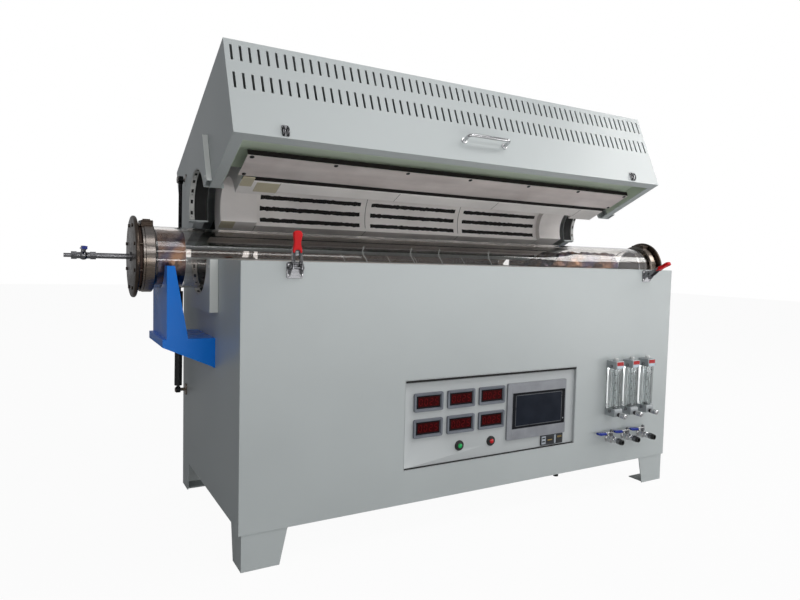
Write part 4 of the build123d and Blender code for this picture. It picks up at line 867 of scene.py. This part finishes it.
def arc_bar(mesh, outline, start, sweep, steps=24):
    """Bar bent round the tube axis: outline of (x, radius); angles from the front, going up."""
    turn = math.radians(start)
    way = Vector((0, -math.cos(turn), math.sin(turn)))
    centre = Vector((0, TUBE_Y, SPLIT)) * MM
    before = set(mesh.verts)
    verts = [mesh.verts.new(centre + Vector((x * MM, 0, 0)) + way * (r * MM)) for x, r in outline]
    edges = [mesh.edges.new(pair) for pair in zip(verts, verts[1:] + verts[:1])]
    bmesh.ops.spin(mesh, geom=verts + edges, cent=centre, axis=-X, dvec=(0, 0, 0), angle=math.radians(sweep),
                   steps=steps, use_merge=False)
    fresh = [v for v in mesh.verts if v not in before]
    rims = [e for v in fresh for e in v.link_edges if e.is_boundary]
    bmesh.ops.holes_fill(mesh, edges=list(set(rims)), sides=len(outline))
    bmesh.ops.recalc_face_normals(mesh, faces=list({f for v in fresh for f in v.link_faces}))


def groove_mouth(mesh, x, side, angle, upward):
    """Black strip with ragged edges laid over a coil's groove mouth, painted shade of the groove; gives back
    the way out of the shell.
    """
    slope = math.radians(angle)
    strip = bmesh.new()
    block(strip, (-165, 165), (-6.3, 6.3), (-0.9, 0.9))
    bmesh.ops.subdivide_edges(strip, edges=edges_along(strip.verts, 0), cuts=46)
    for v in strip.verts:
        edge_side = 1 if v.co.y > 0 else -1
        wobble = noise.noise(Vector((v.co.x * 190 + x, edge_side * 7.0 + angle, side * 3.0)))
        v.co.y += edge_side * wobble * 3.4 * MM
    out = Vector((0, side * math.cos(slope), (1 if upward else -1) * math.sin(slope)))
    data = bpy.data.meshes.new("strip")
    strip.to_mesh(data)
    strip.free()
    add_copy(mesh, data, Vector((x, TUBE_Y, SPLIT)) + out * (CHAMBER - 0.1), math.atan2(-out.y, out.z))
    bpy.data.meshes.remove(data)
    return out


def heating_half(name, node, body, upward):
    """Wound elements in their grooves, black painted shade over the groove mouths, and joint lines of one
    half shell.
    """
    coils, mouths, joints = bmesh.new(), bmesh.new(), bmesh.new()
    winding = coil(324, 7.2, 6.75, 1.5)
    for x in ZONES:
        for angle in COIL_ANGLES:
            for side in (-1, 1):
                out = groove_mouth(mouths, x, side, angle, upward)
                add_copy(coils, winding, Vector((x - 162, TUBE_Y, SPLIT)) + out * 110.5, angle)
    low, high = (6, 168) if upward else (-174, 168)
    for x in (-184.0, 183.0):
        arc_bar(joints, [(x - 1.0, 104.6), (x + 1.0, 104.6), (x + 1.0, 106), (x - 1.0, 106)], low, high)
    for x in (-549.0, -184.0, 183.0, 549.0):
        z = SPLIT + 0.25 if upward else SPLIT - 0.75
        for y0, y1 in ((-124, -76), (136, 184)):
            block(joints, (x - 0.8, x + 0.8), (y0, y1), (z, z + 0.5))
    for part in (coils, mouths, joints):
        if upward:
            swing_open(part)
    piece = finish_piece(name + "_coils", coils, body, "heating_wire", smooth=False)
    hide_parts(node)
    finish_piece(name + "_groove_mouth_shade", mouths, body, "groove_shade_black", smooth=False)
    finish_piece(name + "_joint_lines", joints, body, "joint_shadow", smooth=False)


def lid_cover():
    """Thin sheet screwed over the lid's front edge, the trough behind it, the lining in a paler, greener copy
    of the cabinet paint as painted bounce light, and near-black strips of painted shade.
    """
    sheet, trough, screws, lining, cement, shadow = (bmesh.new() for _ in range(6))
    body = block(sheet, (-668, 668), (-241, -143), (723, 724.4))
    bmesh.ops.subdivide_edges(sheet, edges=edges_along(body, 0), cuts=60)
    for v in sheet.verts:
        v.co.z += noise.noise(Vector((v.co.x * 5.0, v.co.y * 9.0, 1.7))) * 1.2 * MM
    block(sheet, (-668, 668), (203, 253), (723, 724.4))
    arc_bar(trough, [(-655, 155.3), (655, 155.3), (655, 157.3), (-655, 157.3)], 1.2, 177.6, 32)
    for x in (-450, -150, 150, 450):
        block(trough, (x - 1, x + 1), (0, 60), (876, 983))
    for x in (-656, -433, -215, -1, 223, 437, 656):
        screw_head(screws, (x, -235, 723.2), -Z, 6.0, 2.6)
    for x in (-655, 659):
        screw_head(screws, (x, -152, 723.2), -Z, 5.4, 2.6)
    # hollow behind the rim: roof, end walls and front wall in a paler, greener copy of the cabinet paint,
    # painted bounce light; the rear roof and rear wall near-black, painted shade
    roof, walls, front = (757, 758.2), (722.6, 757), -305.6
    block(lining, (-696, 696), (front, -126), roof)
    for ends in ((-696, -694.8), (694.8, 696)):
        block(lining, ends, (front, -108), walls)
    block(lining, (-694.8, 694.8), (front, -304.4), walls)
    block(shadow, (-655, 655), (186, 285.6), roof)
    block(shadow, (-655, 655), (284.4, 285.6), walls)
    # near-black strips in the gaps beside the cover's two edges: painted shadow
    block(shadow, (-655, 655), (-142.6, -124.8), (722.3, 723))
    block(shadow, (-668, 668), (-243.2, -241.8), (724.6, 738))
    # cement pads on the fibre's flat side
    for x, y, z in (((-654, -622), (-141, -94), (720.3, 722.6)), ((-612, -549), (-119, -70), (719.9, 721.2)),
                    ((-653, -612), (116, 160), (719.9, 722.4))):
        pad = block(cement, x, y, z)
        round_corners(cement, pad, 2, 2)
    for part in (sheet, trough, screws, lining, cement, shadow):
        swing_open(part)
    piece = finish_piece("lid_cover_sheet", sheet, "lid", "cover_sheet")
    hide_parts("upper_covers")
    finish_piece("lid_fibre_trough", trough, "lid", "cabinet_paint")
    finish_piece("lid_cover_screws", screws, "lid", "black_plastic")
    finish_piece("lid_lining_painted_light", lining, "lid", "lining_painted_light")
    finish_piece("lid_painted_shade_strips", shadow, "lid", "painted_shade_lining")
    finish_piece("lid_cement_pads", cement, "lid", "joint_cement", edge=0.5)


def collar_band(mesh, side, outer_inner, radii, start, sweep, steps):
    """Band round a tube port, between two places along x and two radii."""
    (x0, x1), (low, high) = outer_inner, radii
    outline = [(side * x0, low), (side * x1, low), (side * x1, high), (side * x0, high)]
    arc_bar(mesh, outline, start, sweep, steps)


def port_collars():
    """Pierced pale strips in each tube port, above and below the split, black painted shade in their holes
    and in the bore behind them, and posts painted paler than the cabinet as painted light.
    """
    for name, body, upward in (("lid", "lid", True), ("cabinet", "base", False)):
        strips, holes, dark, bolts = (bmesh.new() for _ in range(4))
        start, sweep = (3, 174) if upward else (183, 174)
        for side in (-1, 1):
            collar_band(strips, side, (738.6, 725), (96.5, 99.6), start, sweep, 30)
            # black band inside the bore behind the strip: painted shade
            collar_band(dark, side, (724, 688), (98.6, 99.7), start, sweep, 30)
            for k in range(9):
                turn = start + 12 + k * (sweep - 24) / 8
                # black patches under the strip's holes: painted shade seen through them
                collar_band(holes, side, (735, 728.6), (96.1, 97), turn - 3.2, 6.4, 3)
                if k % 2 == 0:
                    way = math.radians(turn + 6.6)
                    out = Vector((0, -math.cos(way), math.sin(way))) * 96.6
                    ball(bolts, Vector((side * 731.8, TUBE_Y, SPLIT)) + out, 2.4, 10)
        # thin plates on the fronts of the port boxes, in a paler copy of the cabinet paint: painted light
        posts = bmesh.new()
        z0, z1 = (722.6, 857) if upward else (583.5, 718.6)
        for side in (-1, 1):
            edge = 725.6 if upward else 718.6
            block(posts, (edge, 739) if side > 0 else (-739, -edge), (-107.6, -106.1), (z0, z1))
            screw_head(posts, (side * 739, -98, z0 + 14 if upward else z1 - 18), X * side, 4.0, 1.8)
        for part in (strips, holes, dark, bolts, posts):
            if upward:
                swing_open(part)
        finish_piece(name + "_port_strips", strips, body, "fitting_pale")
        finish_piece(name + "_port_strip_hole_shade", holes, body, "painted_shade_black")
        finish_piece(name + "_port_bore_shade", dark, body, "painted_shade_black")
        finish_piece(name + "_port_bolts", bolts, body, "chrome")
        finish_piece(name + "_port_posts_painted_light", posts, body, "post_painted_light", edge=0.4)


heating_half("lid_heating", "upper_heaters", "lid", True)
heating_half("cabinet_heating", "lower_heaters", "base", False)
lid_cover()
port_collars()


def rear_baffle():
    """Dark strip along the cabinet's rear edge that shuts the gap under the raised lid."""
    strip = bmesh.new()
    for x0, x1 in ((-700, -556), (-484, 484), (556, 700)):
        block(strip, (x0, x1), (329, 330.6), (719.5, 750))
        block(strip, (x0, x1), (329, 342), (719.5, 721))
    for x in (-520, 520):
        for dx in (-32, 32):
            block(strip, (x + dx - 4, x + dx + 4), (329, 330.6), (719.5, 748))
    finish_piece("rear_edge_baffle", strip, "base", "tinted_steel", edge=0.4)


rear_baffle()


# ---------------------------------------------------------------- work tube, foil and flanges
def foil_roll(mesh, x0, x1, radius, start, sweep, crumple, seed, cuts=40, steps=64):
    """Sheet rolled round the tube axis, then crushed a little."""
    turn = math.radians(start)
    way = Vector((0, -math.cos(turn), math.sin(turn)))
    centre = Vector((0, TUBE_Y, SPLIT)) * MM
    before = set(mesh.verts)
    ends = [mesh.verts.new(centre + Vector((x * MM, 0, 0)) + way * (radius * MM)) for x in (x0, x1)]
    bmesh.ops.subdivide_edges(mesh, edges=[mesh.edges.new(ends)], cuts=cuts)
    line = [v for v in mesh.verts if v not in before]
    edges = list({e for v in line for e in v.link_edges})
    bmesh.ops.spin(mesh, geom=line + edges, cent=centre, axis=-X, dvec=(0, 0, 0), angle=math.radians(sweep),
                   steps=steps, use_merge=False)
    fresh = [v for v in mesh.verts if v not in before]
    for v in fresh:
        out = Vector((0, v.co.y - centre.y, v.co.z - centre.z))
        dent = noise.noise(v.co * 38 + X * seed) + 0.6 * noise.noise(v.co * 95 + Y * seed)
        v.co -= out.normalized() * (crumple * MM * (0.5 + 0.5 * dent))


def tube_inside():
    """Tinted foil in both ends of the tube, plug face and rings near the right flange."""
    rolls = bmesh.new()
    foil_roll(rolls, -850, -784, 73.6, 0, 360, 5.0, 3.1, 20, 72)
    bmesh.ops.remove_doubles(rolls, verts=rolls.verts, dist=0.0008)
    facing = Matrix.Translation(Vector((-785, TUBE_Y, SPLIT)) * MM) @ Matrix.Rotation(math.pi / 2, 4, "Y")
    bmesh.ops.create_circle(rolls, cap_ends=True, segments=40, radius=70 * MM, matrix=facing)
    piece = finish_piece("foil_plug_left", rolls, "base", "foil")
    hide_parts("heat_shields")
    sheet = bmesh.new()
    foil_roll(sheet, 420, 792, 73.4, -236, 292, 12.0, 7.7, 74, 90)
    # the torn left end slopes down to the bottom of the tube
    bmesh.ops.bisect_plane(sheet, geom=sheet.verts[:] + sheet.edges[:] + sheet.faces[:], dist=0.00001,
                           plane_co=Vector((470, 0, 740)) * MM, plane_no=Vector((-0.55, -0.1, 0.82)),
                           clear_outer=True)
    finish_piece("foil_sheet_right", sheet, "base", "foil")
    plug, ring = bmesh.new(), bmesh.new()
    turned(plug, [(0, 0), (0, 71), (4, 72.6), (5, 72.6), (5, 0)], (944, TUBE_Y, SPLIT), X, 48)
    turned(ring, [(0, 70.5), (0, 73.2), (2.5, 73.2), (2.5, 70.5), (0, 70.5)], (905, TUBE_Y, SPLIT), X, 48)
    turned(ring, [(0, 69.5), (0, 73.2), (2.5, 73.2), (2.5, 69.5), (0, 69.5)], (941, TUBE_Y, SPLIT), X, 48)
    finish_piece("plug_face_right", plug, "base", "plug_grey")
    finish_piece("tube_rings_right", ring, "base", "chrome")


def cradle_ties():
    """Pale cords that sling the tube in the chamber."""
    ties = bmesh.new()
    for x in (-272, -110, -8, 186):
        sling = [(-12, -47, 768), (-24, -52.5, 750), (-6, -54, 728), (0, -52, 708), (0, -36, 664),
                 (0, 0, 643), (0, 30, 637.5), (0, 60, 643), (0, 96, 664), (0, 112, 708),
                 (-6, 114, 728), (-24, 112.5, 750)]
        wire(ties, [(x + dx, y, z) for dx, y, z in sling], 1.3)
    finish_piece("cradle_ties", ties, "base", "fitting_pale")


HUB_FACES = ((1, -887.0), (-1, 987.0))
DISC_FACES = ((1, -905.0), (-1, 1005.0))


def flanges():
    """Turned hubs with dark clamp lugs, discs with a rounded rim, dark brown seals."""
    hubs, lugs, discs, seals = (bmesh.new() for _ in range(4))
    for side, face in HUB_FACES:
        way = X * side
        turned(hubs, [(0, 80.3), (0, 88), (1.5, 89.6), (6, 89.6), (7.2, 91), (28, 91), (30, 89), (30, 80.3),
                      (0, 80.3)], (face, TUBE_Y, SPLIT), way, 72)
        low, high = (face + 1, face + 29) if side > 0 else (face - 29, face - 1)
        lug = block(lugs, (low, high), (-12, 46), (790, 813.5))
        round_corners(lugs, lug, 2, 1)
        block(lugs, (low + 5, high - 5), (2, 8), (790, 817))
    for side, face in DISC_FACES:
        way = X * side
        at = (face, TUBE_Y, SPLIT)
        turned(discs, [(0, 7.1), (0, 100.5), (0.8, 103), (2.4, 104.6), (5, 105), (7.8, 104.6), (9.4, 103),
                       (10, 100), (10, 7.1), (0, 7.1)], at, way, 72)
        turned(seals, [(10, 80.4), (10, 82.6), (18, 82.6), (18, 80.4), (10, 80.4)], at, way, 48)
    piece = finish_piece("flange_hub_rings", hubs, "base", "steel")
    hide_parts("flange_hubs")
    finish_piece("flange_clamp_lugs", lugs, "base", "tinted_steel", edge=1.0)
    piece = finish_piece("flange_disc_plates", discs, "base", "tinted_steel")
    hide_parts("flange_discs")
    piece = finish_piece("flange_ring_seals", seals, "base", "seal_rubber")
    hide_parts("flange_seals")


def inlet():
    """Gas inlet with its ball valve and lever, outlet pipe, flange bolts."""
    dress("inlet_valve", 0.6, 3, "inlet_pipe_and_valve", "chrome_dark")
    dress("inlet_lever", 0.8, 3, "inlet_valve_lever", "lever_blue")
    dress("outlet_pipe", 0.6, 3, "outlet_pipe_end", "chrome_dark")
    dress("flange_bolts", 0.8, 3, "flange_bolt_heads", "tinted_steel")


tube_inside()
cradle_ties()
flanges()
inlet()


# ---------------------------------------------------------------- studio
SKY_MIRRORED = 0.24        # share of the white sky that reflections pick up
FLOOR_MIRRORED = 0.14      # and of the glowing floor
FLOOR_GLOW = 0.92          # share of the floor that glows rather than takes light


def seen_share(tree, mirrored):
    """1 where the camera sees straight or through glass, less in reflections."""
    rays = tree.nodes.new("ShaderNodeLightPath")
    straight = tree.nodes.new("ShaderNodeMath")
    straight.operation = "MAXIMUM"
    tree.links.new(rays.outputs["Is Camera Ray"], straight.inputs[0])
    tree.links.new(rays.outputs["Is Transmission Ray"], straight.inputs[1])
    share = tree.nodes.new("ShaderNodeMath")
    share.operation = "MULTIPLY_ADD"
    share.use_clamp = True
    share.inputs[1].default_value = mirrored
    tree.links.new(rays.outputs["Is Glossy Ray"], share.inputs[0])
    tree.links.new(straight.outputs["Value"], share.inputs[2])
    return share.outputs["Value"]


def studio():
    """Plain pale floor, soft sky and large soft lamps."""
    world = bpy.data.worlds.new("studio")
    bpy.context.scene.world = world
    world.use_nodes = True
    tree = world.node_tree
    tree.nodes.clear()
    out = tree.nodes.new("ShaderNodeOutputWorld")
    soft = tree.nodes.new("ShaderNodeBackground")
    put(soft, {"Color": (0.86, 0.90, 0.95, 1), "Strength": 0.20})
    white = tree.nodes.new("ShaderNodeBackground")
    put(white, {"Color": (1, 1, 1, 1), "Strength": 1.0})
    pick = tree.nodes.new("ShaderNodeMixShader")
    tree.links.new(seen_share(tree, SKY_MIRRORED), pick.inputs["Fac"])
    tree.links.new(soft.outputs["Background"], pick.inputs[1])
    tree.links.new(white.outputs["Background"], pick.inputs[2])
    tree.links.new(pick.outputs["Shader"], out.inputs["Surface"])

    # pale floor, white to the camera but for a faint shadow
    mesh = bmesh.new()
    bmesh.ops.create_grid(mesh, x_segments=1, y_segments=1, size=14)
    data = bpy.data.meshes.new("floor")
    mesh.to_mesh(data)
    mesh.free()
    floor = bpy.data.objects.new("floor", data)
    bpy.context.scene.collection.objects.link(floor)
    ftree, shader = node_tree("floor_pale")
    put(shader, {"Base Color": (0.34, 0.34, 0.34, 1), "Roughness": 0.9, "Specular IOR Level": 0.1})
    glow = ftree.nodes.new("ShaderNodeEmission")
    put(glow, {"Color": (1, 1, 1, 1), "Strength": 1.04})
    part = ftree.nodes.new("ShaderNodeMath")
    part.operation = "MULTIPLY"
    part.inputs[1].default_value = FLOOR_GLOW
    pick = ftree.nodes.new("ShaderNodeMixShader")
    ftree.links.new(seen_share(ftree, FLOOR_MIRRORED), part.inputs[0])
    ftree.links.new(part.outputs["Value"], pick.inputs["Fac"])
    ftree.links.new(shader.outputs["BSDF"], pick.inputs[1])
    ftree.links.new(glow.outputs["Emission"], pick.inputs[2])
    ftree.links.new(pick.outputs["Shader"], ftree.nodes["Material Output"].inputs["Surface"])
    data.materials.append(MATERIALS["floor_pale"])

    def lamp(name, place, target, size, power, tint=(1, 1, 1)):
        """Soft rectangular lamp that looks at a target; power in watts."""
        light = bpy.data.lights.new(name, "AREA")
        light.shape = "RECTANGLE"
        light.size, light.size_y = size
        light.energy = power
        light.color = tint
        obj = bpy.data.objects.new(name, light)
        bpy.context.scene.collection.objects.link(obj)
        obj.location = place
        obj.rotation_euler = (Vector(target) - Vector(place)).to_track_quat("-Z", "Y").to_euler()
        return obj

    lamp("front_key", (-0.5, -4.2, 2.6), (0.0, -0.3, 0.7), (5.0, 0.5), 34, (1, 1, 0.99))
    lamp("front_left", (-2.6, -3.4, 1.1), (-0.8, 0.0, 0.6), (1.7, 1.5), 11)
    lamp("front_low", (0.3, -3.6, 0.12), (0.0, 0.0, 1.0), (3.4, 0.3), 20)
    lamp("window_right", (2.9, -1.4, 2.7), (0.5, -0.4, 1.0), (1.5, 1.4), 38, (1, 0.995, 0.98))
    lamp("overhead", (0.7, -1.9, 3.6), (0.2, -0.2, 0.8), (2.4, 1.2), 26)
    lamp("low_right", (2.3, -2.1, 0.3), (0.55, 0.0, 0.95), (1.2, 0.8), 10)
    under = lamp("under_lid", (0.25, -1.0, 0.66), (0.25, -0.62, 1.7), (1.5, 0.3), 2.2)
    under.visible_camera = False
    lamp("rear_fill", (2.4, 3.2, 2.4), (0, 0, 0.7), (2.0, 2.0), 24)


studio()
bpy.context.scene.view_settings.view_transform = "Standard"

for node in nodes:
    if not nodes[node].hide_render:
        dress(node, 0.5)

bpy.context.view_layer.update()
